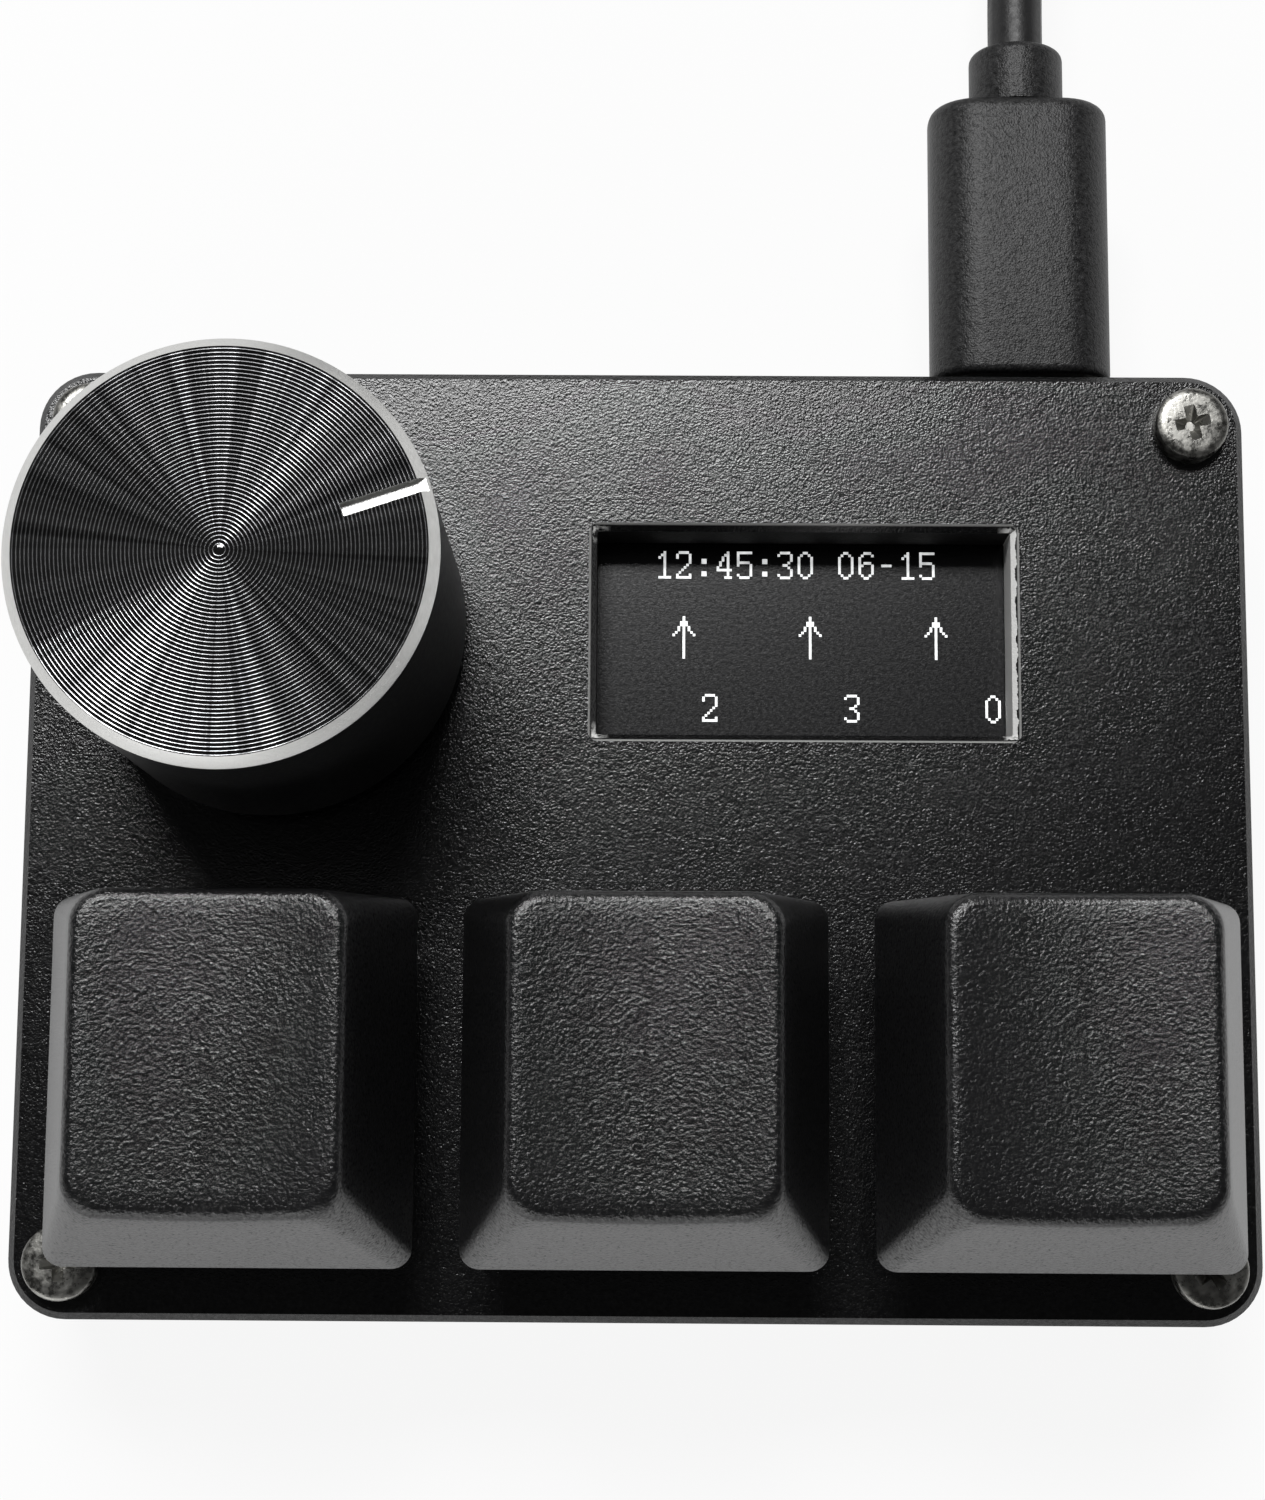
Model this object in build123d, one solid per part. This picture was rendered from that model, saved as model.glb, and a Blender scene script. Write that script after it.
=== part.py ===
from build123d import *
import math
import os

# A three-key desk keypad with a turning and pressing knob, a recessed screen and its USB lead.
# Millimetres. X points right, Y away from the user, Z up.
# The origin is on the desk, below the case's middle.

# Case, plate and heights
body_corner = 3.0
key_side_margin = 4.15
key_front_margin = 4.45
key_to_knob_gap = 6.2
knob_back_margin = 3.85
knob_side_margin = 2.85
foot_height = 1.5
foot_diameter = 8.0
foot_pocket_depth = 0.5
foot_inset = 7.0
case_floor = 2.0
case_wall = 2.0
room_under_board = 3.0
board_thickness = 1.6
board_to_plate_top = 5.0
plate_thickness = 1.5
plate_edge_chamfer = 0.35
case_edge_chamfer = 0.5

# Clearances
cut_overrun = 1.0
thread_gap = 0.02
seat_gap = 0.05
shaft_gap = 0.03
screw_hole_gap = 0.15
board_edge_gap = 0.3
pocket_gap = 0.1
running_gap = 0.1
opening_gap = 0.3

# Corner screws and their brass inserts
screw_inset = 2.85
screw_diameter = 2.0
screw_head_diameter = 3.8
screw_head_height = 1.3
screw_head_round = 0.7
screw_length = 6.0
recess_length = 2.1
recess_width = 0.6
recess_depth = 0.8
insert_diameter = 3.2
insert_length = 4.0
boss_diameter = 5.0
pilot_spare = 1.0

# Board screws, standoffs and chips
standoff_diameter = 5.0
board_screw_head_diameter = 3.6
board_screw_head_height = 1.2
board_screw_tip_room = 0.6
back_standoff_shift = 5.2
right_standoff_inset = 5.2
standoff_from_switch = 4.25
controller_size = 6.0
controller_height = 0.9
chips_from_knob = 6.8
memory_size = 4.0
regulator_size = 3.0
chip_pitch = 9.0
hall_sensor_width = 2.9
hall_sensor_depth = 1.6
hall_sensor_height = 1.0

# Keys: switch housings, stems, springs and caps
key_names = ("left", "middle", "right")
key_row_x = 0.5
switch_spacing = 5.4
key_travel = 4.0
switch_body = 13.9
switch_flange_lip = 0.45
switch_flange_corner = 2.0
switch_body_corner = 1.3
switch_flange_height = 1.0
switch_wall = 1.1
switch_floor = 0.6
switch_post_diameter = 1.7
switch_post_spread = 5.08
switch_post_below_board = 0.4
housing_foot_inset = 0.1
housing_foot_corner = 1.5
housing_crown_width = 11.0
housing_crown_depth = 10.4
housing_height = 5.2
housing_roof = 1.2
housing_corner = 1.0
stem_width = 7.0
stem_depth = 5.4
stem_opening_gap = 0.2
stem_shoulder_width = 9.0
stem_shoulder_depth = 7.4
stem_shoulder_height = 2.4
stem_above_roof = 0.4
cross_length = 4.1
cross_thickness = 1.25
cross_height = 3.6
pole_diameter = 2.8
pole_floor_gap = 0.2
magnet_diameter = 2.0
magnet_length = 1.8
spring_inner = 3.6
spring_wire = 0.5
cap_rise = 6.0
cap_gap = 2.2
cap_corner = 1.0
cap_side_lean = 2.65
cap_depth_lean = 1.55
cap_top_corner = 1.6
cap_top_setback = 1.2
cap_height = 9.0
cap_wall = 1.3
cap_roof = 1.7
cap_dish_depth = 0.7
cap_edge_round = 0.35
cap_socket_diameter = 5.5
cap_socket_spare = 0.2

# Knob and rotary encoder
knob_diameter = 20.0
knob_height = 18.1
knob_rim_chamfer = 0.5
knob_foot_chamfer = 0.3
notch_angle = 18.5
notch_start = 5.8
notch_width = 0.65
notch_depth = 0.4
knob_roof = 4.0
insert_bore_roof = 1.0
hub_diameter = 10.0
push_travel = 0.5
encoder_width = 12.4
encoder_depth = 13.2
encoder_body_floor = 1.6
encoder_skin = 0.4
rotor_step = 0.6
rotor_step_diameter = 7.0
rotor_chamber_diameter = 10.4
rotor_diameter = 10.0
rotor_thickness = 1.4
rotor_drive = 3.7
plunger_diameter = 4.0
tip_diameter = 3.4
drive_square = 3.6
shaft_flange_diameter = 8.0
shaft_flange_thickness = 0.3
shaft_diameter = 6.0
shaft_flat_thickness = 4.5
bracket_thickness = 0.8
bracket_leg_thickness = 0.5
bracket_leg_width = 4.0
bush_diameter = 7.0
bush_length = 4.8
shaft_short_of_bore = 0.4

# Screen
window_side_margin = 12.25
screen_to_socket_gap = 0.35
window_width = 21.7
window_depth = 10.8
window_corner = 0.12
window_bevel = 0.4
window_rim_wall = 1.2
glass_gap = 0.2
glass_side_border = 1.95
glass_end_border = 0.9
glass_thickness = 0.6
backlight_side_border = 1.2
backlight_end_border = 0.2
backlight_thickness = 0.7
backlight_corner = 0.5
backlight_shift = 0.8
pad_thickness = 0.3
pad_inset = 0.8
flex_width = 8.0
flex_thickness = 0.2
flex_reach = 2.4

# USB socket and the plug in it
plug_side_margin = 11.25
socket_width = 8.94
socket_height = 3.16
socket_wall = 0.3
socket_length = 7.0
tongue_width = 6.7
tongue_thickness = 0.7
tongue_length = 4.4
tongue_base = 0.5
plug_shell_width = 8.25
plug_shell_height = 2.4
plug_shell_wall = 0.3
plug_shell_length = 6.3
plug_standoff = 0.35
overmold_width = 9.65
overmold_height = 6.0
overmold_corner = 2.7
overmold_length = 15.4
overmold_round = 1.7
collar_diameter = 5.1
collar_length = 3.3
collar_round = 0.5

# Lead: a tube of straight runs and arcs from the plug's collar to the coil
cord_diameter = 3.0
coil_lift = 0.8
coil_pitch = 3.45
coil_turns = 8
coil_mean_radius = 18.0
coil_overhang = 1.15
lead_reach = 43.3
coil_climb_turns = 0.5
quarters_per_turn = 4
corner_run_share = 0.45
halfway_share = 0.5
tie_width = 6.0
tie_thickness = 0.6
tie_gap = 0.25

# Plug on the lead's far end
far_plug_gap = 0.1
far_plug_shift = 5.0
far_collar_length = 6.0
far_body_width = 15.6
far_body_height = 8.0
far_body_length = 20.0
far_body_corner = 2.5
far_body_round = 1.5
far_shell_width = 12.0
far_shell_height = 4.5
far_shell_wall = 0.3
far_shell_length = 18.7
far_shell_corner = 0.6
far_tongue_width = 10.6
far_tongue_thickness = 1.9
far_tongue_short = 1.0

# Sizes and places worked out from the values above
switch_flange = switch_body + 2 * switch_flange_lip
housing_foot = switch_flange - 2 * housing_foot_inset
key_pitch = switch_flange + switch_spacing
cap_width = key_pitch - cap_gap
cap_depth = cap_width
cap_top_width = cap_width - 2 * cap_side_lean
cap_top_depth = cap_depth - 2 * cap_depth_lean
body_width = (len(key_names) - 1) * key_pitch + switch_flange + 2 * key_side_margin
body_depth = key_front_margin + switch_flange + key_to_knob_gap + knob_diameter + knob_back_margin
key_row_y = key_front_margin + switch_flange / 2 - body_depth / 2
knob_x = knob_side_margin + knob_diameter / 2 - body_width / 2
knob_y = body_depth / 2 - knob_back_margin - knob_diameter / 2
glass_width = window_width + 2 * glass_side_border
glass_depth = window_depth + 2 * glass_end_border
backlight_width = glass_width + 2 * backlight_side_border
backlight_depth = glass_depth + 2 * backlight_end_border
window_x = body_width / 2 - window_side_margin - window_width / 2
window_y = body_depth / 2 - socket_length - screen_to_socket_gap - backlight_depth / 2
backlight_x = window_x + backlight_shift
plug_x = body_width / 2 - plug_side_margin

# Levels
case_bottom = foot_height - foot_pocket_depth
floor_top = case_bottom + case_floor
board_bottom = floor_top + room_under_board
board_top = board_bottom + board_thickness
plate_top = board_top + board_to_plate_top
plate_bottom = plate_top - plate_thickness
back_face = body_depth / 2
port_z = board_top + socket_height / 2
backlight_bottom = board_top + pad_thickness
glass_bottom = backlight_bottom + backlight_thickness
rim_bottom = glass_bottom + glass_thickness + glass_gap
key_places = [(key_row_x + (number - 1) * key_pitch, key_row_y) for number in range(len(key_names))]
screw_places = [
    (side_x * (body_width / 2 - screw_inset), side_y * (body_depth / 2 - screw_inset))
    for side_x in (-1, 1)
    for side_y in (-1, 1)
]
foot_places = [
    (side_x * (body_width / 2 - foot_inset), side_y * (body_depth / 2 - foot_inset))
    for side_x in (-1, 1)
    for side_y in (-1, 1)
]
encoder_side = knob_x + encoder_width / 2 + bracket_leg_thickness
screen_side = backlight_x - backlight_width / 2
standoff_places = [
    (key_row_x - key_pitch / 2, key_row_y),
    (key_row_x + key_pitch / 2, key_row_y),
    ((encoder_side + screen_side) / 2, knob_y + back_standoff_shift),
    (body_width / 2 - right_standoff_inset, key_row_y + switch_body / 2 + standoff_from_switch),
]

on_base = (Align.CENTER, Align.CENTER, Align.MIN)


def block(width, depth, height, x, y, bottom):
    return Pos(x, y, bottom) * Box(width, depth, height, align=on_base)


def disc(diameter, height, x, y, bottom):
    return Pos(x, y, bottom) * Cylinder(diameter / 2, height, align=on_base)


def rounded_block(width, depth, corner, height, x, y, bottom):
    return Pos(x, y, bottom) * extrude(RectangleRounded(width, depth, corner), amount=height)


def tapered_block(foot, crown, height, shift, x, y, bottom):
    # Foot and crown are (width, depth, corner); the crown is moved back by shift.
    lower = Pos(x, y, bottom) * RectangleRounded(*foot)
    upper = Pos(x, y + shift, bottom + height) * RectangleRounded(*crown)
    return loft([lower, upper])


def along(x, y, z, direction, sketch, length):
    # A sketch whose width is level, pushed along a level direction.
    level = Vector(*direction).cross(Vector(0, 0, 1))
    return extrude(Plane((x, y, z), x_dir=level, z_dir=direction) * sketch, amount=length)


def group(solids):
    return Compound(children=solids)


# Case
def make_bottom_case():
    wall_height = plate_bottom - case_bottom
    case = rounded_block(body_width, body_depth, body_corner, wall_height, 0, 0, case_bottom)
    case = chamfer(case.edges().group_by(Axis.Z)[0], case_edge_chamfer)
    room_corner = body_corner - case_wall
    room_height = plate_bottom - floor_top + cut_overrun
    room = rounded_block(
        body_width - 2 * case_wall, body_depth - 2 * case_wall, room_corner, room_height, 0, 0, floor_top
    )
    case -= room
    boss_height = plate_bottom - floor_top
    for x, y in screw_places:
        case += disc(boss_diameter, boss_height, x, y, floor_top)
    for x, y in standoff_places:
        case += disc(standoff_diameter, room_under_board, x, y, floor_top)
    insert_bore = insert_diameter + 2 * thread_gap
    screw_bore = screw_diameter + 2 * thread_gap
    pilot_depth = screw_length - plate_thickness + pilot_spare
    for x, y in screw_places:
        case -= disc(insert_bore, insert_length + cut_overrun, x, y, plate_bottom - insert_length)
        case -= disc(screw_bore, pilot_depth, x, y, plate_bottom - pilot_depth)
    for x, y in standoff_places:
        case -= disc(screw_bore, room_under_board + cut_overrun, x, y, floor_top)
    pocket = foot_diameter + 2 * pocket_gap
    for x, y in foot_places:
        case -= disc(pocket, foot_pocket_depth + cut_overrun, x, y, case_bottom - cut_overrun)
    port_width = socket_width + 2 * opening_gap
    port_bottom = board_top - opening_gap
    port_height = plate_bottom - port_bottom + cut_overrun
    port_y = back_face - case_wall / 2
    case -= block(port_width, case_wall + 2 * cut_overrun, port_height, plug_x, port_y, port_bottom)
    return case


def make_top_plate():
    plate = rounded_block(body_width, body_depth, body_corner, plate_thickness, 0, 0, plate_bottom)
    plate = chamfer(plate.edges().group_by(Axis.Z)[-1], plate_edge_chamfer)
    rim_width = window_width + 2 * window_rim_wall
    rim_depth = window_depth + 2 * window_rim_wall
    rim_drop = plate_bottom - rim_bottom
    plate += rounded_block(
        rim_width, rim_depth, window_corner + window_rim_wall, rim_drop, window_x, window_y, rim_bottom
    )
    window_height = plate_top - rim_bottom + cut_overrun
    plate -= rounded_block(
        window_width, window_depth, window_corner, window_height, window_x, window_y, rim_bottom
    )
    bevel_foot = (window_width, window_depth, window_corner)
    bevel_crown = (
        window_width + 2 * window_bevel,
        window_depth + 2 * window_bevel,
        window_corner + window_bevel,
    )
    plate -= tapered_block(
        bevel_foot, bevel_crown, window_bevel, 0, window_x, window_y, plate_top - window_bevel
    )
    cut_height = plate_thickness + 2 * cut_overrun
    cut_bottom = plate_bottom - cut_overrun
    switch_opening = switch_body + 2 * seat_gap
    for x, y in key_places:
        plate -= block(switch_opening, switch_opening, cut_height, x, y, cut_bottom)
    leg_room = bracket_leg_thickness + opening_gap
    encoder_opening_width = encoder_width + 2 * leg_room
    encoder_opening_depth = encoder_depth + 2 * opening_gap
    plate -= block(encoder_opening_width, encoder_opening_depth, cut_height, knob_x, knob_y, cut_bottom)
    for x, y in screw_places:
        plate -= disc(screw_diameter + 2 * screw_hole_gap, cut_height, x, y, cut_bottom)
    return plate


def pan_screw(head_diameter, head_height, length, x, y, seat):
    head = disc(head_diameter, head_height, x, y, seat)
    head = fillet(head.edges().group_by(Axis.Z)[-1], screw_head_round)
    recess_bottom = seat + head_height - recess_depth
    recess_height = recess_depth + cut_overrun
    head -= block(recess_length, recess_width, recess_height, x, y, recess_bottom)
    head -= block(recess_width, recess_length, recess_height, x, y, recess_bottom)
    return head + disc(screw_diameter, length, x, y, seat - length)


def make_plate_screws():
    return group(
        [
            pan_screw(screw_head_diameter, screw_head_height, screw_length, x, y, plate_top)
            for x, y in screw_places
        ]
    )


def make_screw_inserts():
    inserts = []
    for x, y in screw_places:
        insert = disc(insert_diameter, insert_length, x, y, plate_bottom - insert_length)
        bore_height = insert_length + 2 * cut_overrun
        bore_bottom = plate_bottom - insert_length - cut_overrun
        inserts.append(insert - disc(screw_diameter + 2 * thread_gap, bore_height, x, y, bore_bottom))
    return group(inserts)


def make_rubber_feet():
    return group([disc(foot_diameter, foot_height, x, y, 0) for x, y in foot_places])


# Board
def make_main_board():
    board_width = body_width - 2 * case_wall - 2 * board_edge_gap
    board_depth = body_depth - 2 * case_wall - 2 * board_edge_gap
    board = block(board_width, board_depth, board_thickness, 0, 0, board_bottom)
    cut_height = board_thickness + 2 * cut_overrun
    cut_bottom = board_bottom - cut_overrun
    for x, y in screw_places:
        board -= disc(boss_diameter + 2 * board_edge_gap, cut_height, x, y, cut_bottom)
    for x, y in standoff_places:
        board -= disc(screw_diameter + 2 * screw_hole_gap, cut_height, x, y, cut_bottom)
    for x, y in key_places:
        for side in (-1, 1):
            post_x = x + side * switch_post_spread
            board -= disc(switch_post_diameter + 2 * seat_gap, cut_height, post_x, y, cut_bottom)
    return board


def make_board_screws():
    length = board_thickness + room_under_board - board_screw_tip_room
    return group(
        [
            pan_screw(board_screw_head_diameter, board_screw_head_height, length, x, y, board_top)
            for x, y in standoff_places
        ]
    )


def make_board_chips():
    bottom = board_bottom - controller_height
    sizes = (memory_size, controller_size, regulator_size)
    chips = []
    for number, size in enumerate(sizes):
        x = key_row_x + (number - 1) * chip_pitch
        chips.append(block(size, size, controller_height, x, knob_y - chips_from_knob, bottom))
    return group(chips)


def make_hall_sensors():
    bottom = board_bottom - hall_sensor_height
    return group(
        [
            block(hall_sensor_width, hall_sensor_depth, hall_sensor_height, x, y, bottom)
            for x, y in key_places
        ]
    )


# Screen stack
def make_display():
    pad_width = backlight_width - 2 * pad_inset
    pad_depth = backlight_depth - 2 * pad_inset
    flex_start = backlight_x + backlight_width / 2
    upper_x = flex_start + flex_reach / 2
    upper = block(flex_reach, flex_width, flex_thickness, upper_x, window_y, backlight_bottom)
    drop_height = backlight_bottom + flex_thickness - board_top
    drop_x = flex_start + flex_reach - flex_thickness / 2
    drop = block(flex_thickness, flex_width, drop_height, drop_x, window_y, board_top)
    tail_x = flex_start + flex_reach + flex_reach / 2
    tail = block(flex_reach, flex_width, flex_thickness, tail_x, window_y, board_top)
    pad = block(pad_width, pad_depth, pad_thickness, backlight_x, window_y, board_top)
    backlight = rounded_block(
        backlight_width,
        backlight_depth,
        backlight_corner,
        backlight_thickness,
        backlight_x,
        window_y,
        backlight_bottom,
    )
    glass = block(glass_width, glass_depth, glass_thickness, window_x, window_y, glass_bottom)
    return {
        "display_pad": pad,
        "display_backlight": backlight,
        "display_glass": glass,
        "display_flex": upper + drop + tail,
    }


# Keys
def make_switch_base(x, y):
    base = rounded_block(
        switch_body, switch_body, switch_body_corner, board_to_plate_top, x, y, board_top
    )
    base += rounded_block(
        switch_flange, switch_flange, switch_flange_corner, switch_flange_height, x, y, plate_top
    )
    room = switch_body - 2 * switch_wall
    room_height = board_to_plate_top + switch_flange_height - switch_floor + cut_overrun
    base -= block(room, room, room_height, x, y, board_top + switch_floor)
    post_length = board_thickness + switch_post_below_board
    for side in (-1, 1):
        post_x = x + side * switch_post_spread
        base += disc(switch_post_diameter, post_length, post_x, y, board_top - post_length)
    return base


def make_switch_top(x, y):
    bottom = plate_top + switch_flange_height
    foot = (housing_foot, housing_foot, housing_foot_corner)
    crown = (housing_crown_width, housing_crown_depth, housing_corner)
    housing = tapered_block(foot, crown, housing_height, 0, x, y, bottom)
    room_height = housing_height - housing_roof
    taper_share = room_height / housing_height
    inner_foot = housing_foot - 2 * switch_wall
    roof_width = housing_foot + (housing_crown_width - housing_foot) * taper_share - 2 * switch_wall
    roof_depth = housing_foot + (housing_crown_depth - housing_foot) * taper_share - 2 * switch_wall
    inner_corner = housing_corner / 2
    room_foot = (inner_foot, inner_foot, inner_corner)
    room_crown = (roof_width, roof_depth, inner_corner)
    housing -= tapered_block(room_foot, room_crown, room_height, 0, x, y, bottom)
    opening_width = stem_width + 2 * stem_opening_gap
    opening_depth = stem_depth + 2 * stem_opening_gap
    opening_height = housing_roof + 2 * cut_overrun
    opening_bottom = bottom + room_height - cut_overrun
    return housing - block(opening_width, opening_depth, opening_height, x, y, opening_bottom)


roof_underside = plate_top + switch_flange_height + housing_height - housing_roof
shoulder_top = roof_underside - running_gap
shoulder_bottom = shoulder_top - stem_shoulder_height
stem_top = roof_underside + housing_roof + stem_above_roof
pole_bottom = board_top + switch_floor + key_travel + pole_floor_gap


def cross(x, y, bottom, height, gap):
    long_side = cross_length + 2 * gap
    short_side = cross_thickness + 2 * gap
    across = block(long_side, short_side, height, x, y, bottom)
    return across + block(short_side, long_side, height, x, y, bottom)


def make_stem(x, y):
    stem = block(stem_shoulder_width, stem_shoulder_depth, stem_shoulder_height, x, y, shoulder_bottom)
    stem += block(stem_width, stem_depth, stem_top - shoulder_top, x, y, shoulder_top)
    stem += cross(x, y, stem_top, cross_height, 0)
    stem += disc(pole_diameter, shoulder_bottom - pole_bottom, x, y, pole_bottom)
    magnet_bore = magnet_diameter + 2 * thread_gap
    return stem - disc(magnet_bore, magnet_length + cut_overrun, x, y, pole_bottom - cut_overrun)


def make_magnet(x, y):
    return disc(magnet_diameter, magnet_length, x, y, pole_bottom)


def make_spring(x, y):
    # A sleeve for the room that the spring's turns take, from the housing floor to the stem's shoulder.
    bottom = board_top + switch_floor
    length = shoulder_bottom - bottom
    sleeve = disc(spring_inner + 2 * spring_wire, length, x, y, bottom)
    return sleeve - disc(spring_inner, length + 2 * cut_overrun, x, y, bottom - cut_overrun)


def make_keycap(x, y):
    bottom = plate_top + cap_rise
    foot = (cap_width, cap_depth, cap_corner)
    crown = (cap_top_width, cap_top_depth, cap_top_corner)
    cap = tapered_block(foot, crown, cap_height, cap_top_setback, x, y, bottom)
    half_top = cap_top_width / 2
    dish_radius = (half_top**2 + cap_dish_depth**2) / (2 * cap_dish_depth)
    dish_z = bottom + cap_height - cap_dish_depth + dish_radius
    dish = Cylinder(dish_radius, cap_depth + 2 * cut_overrun, rotation=(90, 0, 0))
    cap -= Pos(x, y, dish_z) * dish
    cap = fillet(cap.edges().group_by(Axis.Z)[-1], cap_edge_round)
    room_height = cap_height - cap_roof
    taper_share = room_height / cap_height
    room_width = cap_width + (cap_top_width - cap_width) * taper_share - 2 * cap_wall
    room_depth = cap_depth + (cap_top_depth - cap_depth) * taper_share - 2 * cap_wall
    room_foot = (cap_width - 2 * cap_wall, cap_depth - 2 * cap_wall, cap_corner)
    room_crown = (room_width, room_depth, cap_top_corner)
    cap -= tapered_block(room_foot, room_crown, room_height, cap_top_setback * taper_share, x, y, bottom)
    socket = disc(cap_socket_diameter, bottom + room_height - stem_top, x, y, stem_top)
    socket -= cross(x, y, stem_top, cross_height + cap_socket_spare, seat_gap)
    return cap + socket


# Knob and encoder
plunger_bottom = board_top + encoder_skin + push_travel + running_gap
plunger_top = board_top + encoder_body_floor
rotor_floor = plunger_top + rotor_step
drive_length = rotor_thickness + push_travel + 3 * running_gap
drive_top = rotor_floor + drive_length
encoder_top = drive_top + shaft_flange_thickness + running_gap
encoder_body_height = encoder_top - board_top
bracket_top = encoder_top + bracket_thickness
bush_top = bracket_top + bush_length
knob_bottom = bracket_top + push_travel + opening_gap
knob_top = knob_bottom + knob_height
hub_bottom = bush_top + push_travel + opening_gap
hub_top = knob_top - knob_roof
bore_top = hub_top - insert_bore_roof
shaft_top = bore_top - shaft_short_of_bore


def make_encoder_body():
    body = block(encoder_width, encoder_depth, encoder_body_height, knob_x, knob_y, board_top)
    chamber_height = encoder_top - rotor_floor + cut_overrun
    body -= disc(rotor_chamber_diameter, chamber_height, knob_x, knob_y, rotor_floor)
    body -= disc(rotor_step_diameter, rotor_step + cut_overrun, knob_x, knob_y, plunger_top)
    well_depth = encoder_body_floor - encoder_skin
    well = plunger_diameter + 2 * running_gap
    return body - disc(well, well_depth + cut_overrun, knob_x, knob_y, board_top + encoder_skin)


def make_encoder_bracket():
    bracket_width = encoder_width + 2 * seat_gap + 2 * bracket_leg_thickness
    bracket = block(bracket_width, encoder_depth, bracket_thickness, knob_x, knob_y, encoder_top)
    leg_x = (bracket_width - bracket_leg_thickness) / 2
    for side in (-1, 1):
        bracket += block(
            bracket_leg_thickness,
            bracket_leg_width,
            encoder_body_height,
            knob_x + side * leg_x,
            knob_y,
            board_top,
        )
    hole = shaft_diameter + 2 * running_gap
    hole_height = bracket_thickness + 2 * cut_overrun
    return bracket - disc(hole, hole_height, knob_x, knob_y, encoder_top - cut_overrun)


def make_encoder_bush():
    bush = disc(bush_diameter, bush_length, knob_x, knob_y, bracket_top)
    bore = shaft_diameter + 2 * shaft_gap
    return bush - disc(bore, bush_length + 2 * cut_overrun, knob_x, knob_y, bracket_top - cut_overrun)


def make_encoder_rotor():
    rotor = disc(rotor_diameter, rotor_thickness, knob_x, knob_y, rotor_floor + running_gap)
    bore_height = rotor_thickness + 2 * cut_overrun
    bore_bottom = rotor_floor - cut_overrun
    return rotor - block(rotor_drive, rotor_drive, bore_height, knob_x, knob_y, bore_bottom)


def make_encoder_plunger():
    return disc(plunger_diameter, plunger_top - plunger_bottom, knob_x, knob_y, plunger_bottom)


def flatted(diameter, flat_thickness, height, bottom):
    # A round bar with one flat, flat_thickness across from the flat to the far side.
    bar = disc(diameter, height, knob_x, knob_y, bottom)
    cut_y = knob_y + flat_thickness
    return bar - block(diameter, diameter, height, knob_x, cut_y, bottom)


def make_encoder_shaft():
    shaft = disc(tip_diameter, rotor_floor - plunger_top, knob_x, knob_y, plunger_top)
    shaft += block(drive_square, drive_square, drive_length, knob_x, knob_y, rotor_floor)
    shaft += disc(shaft_flange_diameter, shaft_flange_thickness, knob_x, knob_y, drive_top)
    round_bottom = drive_top + shaft_flange_thickness
    shaft += disc(shaft_diameter, hub_bottom - round_bottom, knob_x, knob_y, round_bottom)
    return shaft + flatted(shaft_diameter, shaft_flat_thickness, shaft_top - hub_bottom, hub_bottom)


def make_knob_shell():
    shell = disc(knob_diameter, knob_height, knob_x, knob_y, knob_bottom)
    shell = chamfer(shell.edges().group_by(Axis.Z)[-1], knob_rim_chamfer)
    shell = chamfer(shell.edges().group_by(Axis.Z)[0], knob_foot_chamfer)
    bore = hub_diameter + 2 * thread_gap
    shell -= disc(bore, hub_top - knob_bottom + cut_overrun, knob_x, knob_y, knob_bottom - cut_overrun)
    notch_length = knob_diameter / 2 - notch_start + cut_overrun
    notch_middle = notch_start + notch_length / 2
    notch = block(notch_length, notch_width, notch_depth + cut_overrun, notch_middle, 0, 0)
    return shell - Pos(knob_x, knob_y, knob_top - notch_depth) * Rot(0, 0, notch_angle) * notch


def make_knob_insert():
    hub = disc(hub_diameter, hub_top - hub_bottom, knob_x, knob_y, hub_bottom)
    bore_flat = shaft_flat_thickness + 2 * shaft_gap
    return hub - flatted(shaft_diameter + 2 * shaft_gap, bore_flat, bore_top - hub_bottom, hub_bottom)


# USB socket and plug
def make_usb_socket_shell():
    start = back_face - socket_length
    backward = (0, 1, 0)
    outer = SlotOverall(socket_width, socket_height)
    shell = along(plug_x, start, port_z, backward, outer, socket_length)
    inner = SlotOverall(socket_width - 2 * socket_wall, socket_height - 2 * socket_wall)
    return shell - along(plug_x, start + socket_wall, port_z, backward, inner, socket_length)


def make_usb_socket_tongue():
    start = back_face - socket_length + socket_wall
    base_height = plug_shell_height - 2 * plug_shell_wall
    middle = start + tongue_base / 2
    base = block(tongue_width, tongue_base, base_height, plug_x, middle, port_z - base_height / 2)
    tongue_y = start + tongue_base + tongue_length / 2
    return base + block(
        tongue_width, tongue_length, tongue_thickness, plug_x, tongue_y, port_z - tongue_thickness / 2
    )


plug_face = back_face + plug_standoff
collar_face = plug_face + overmold_length
cord_exit_y = collar_face + collar_length


def make_usb_plug_shell():
    forward = (0, -1, 0)
    outer = SlotOverall(plug_shell_width, plug_shell_height)
    shell = along(plug_x, plug_face, port_z, forward, outer, plug_shell_length)
    inner = SlotOverall(plug_shell_width - 2 * plug_shell_wall, plug_shell_height - 2 * plug_shell_wall)
    return shell - along(plug_x, plug_face, port_z, forward, inner, plug_shell_length + cut_overrun)


def make_usb_plug_overmold():
    section = RectangleRounded(overmold_width, overmold_height, overmold_corner)
    body = along(plug_x, plug_face, port_z, (0, 1, 0), section, overmold_length)
    return fillet(body.edges().group_by(Axis.Y)[-1], overmold_round)


def make_usb_plug_collar():
    collar = along(plug_x, collar_face, port_z, (0, 1, 0), Circle(collar_diameter / 2), collar_length)
    return fillet(collar.edges().group_by(Axis.Y)[-1], collar_round)


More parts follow.
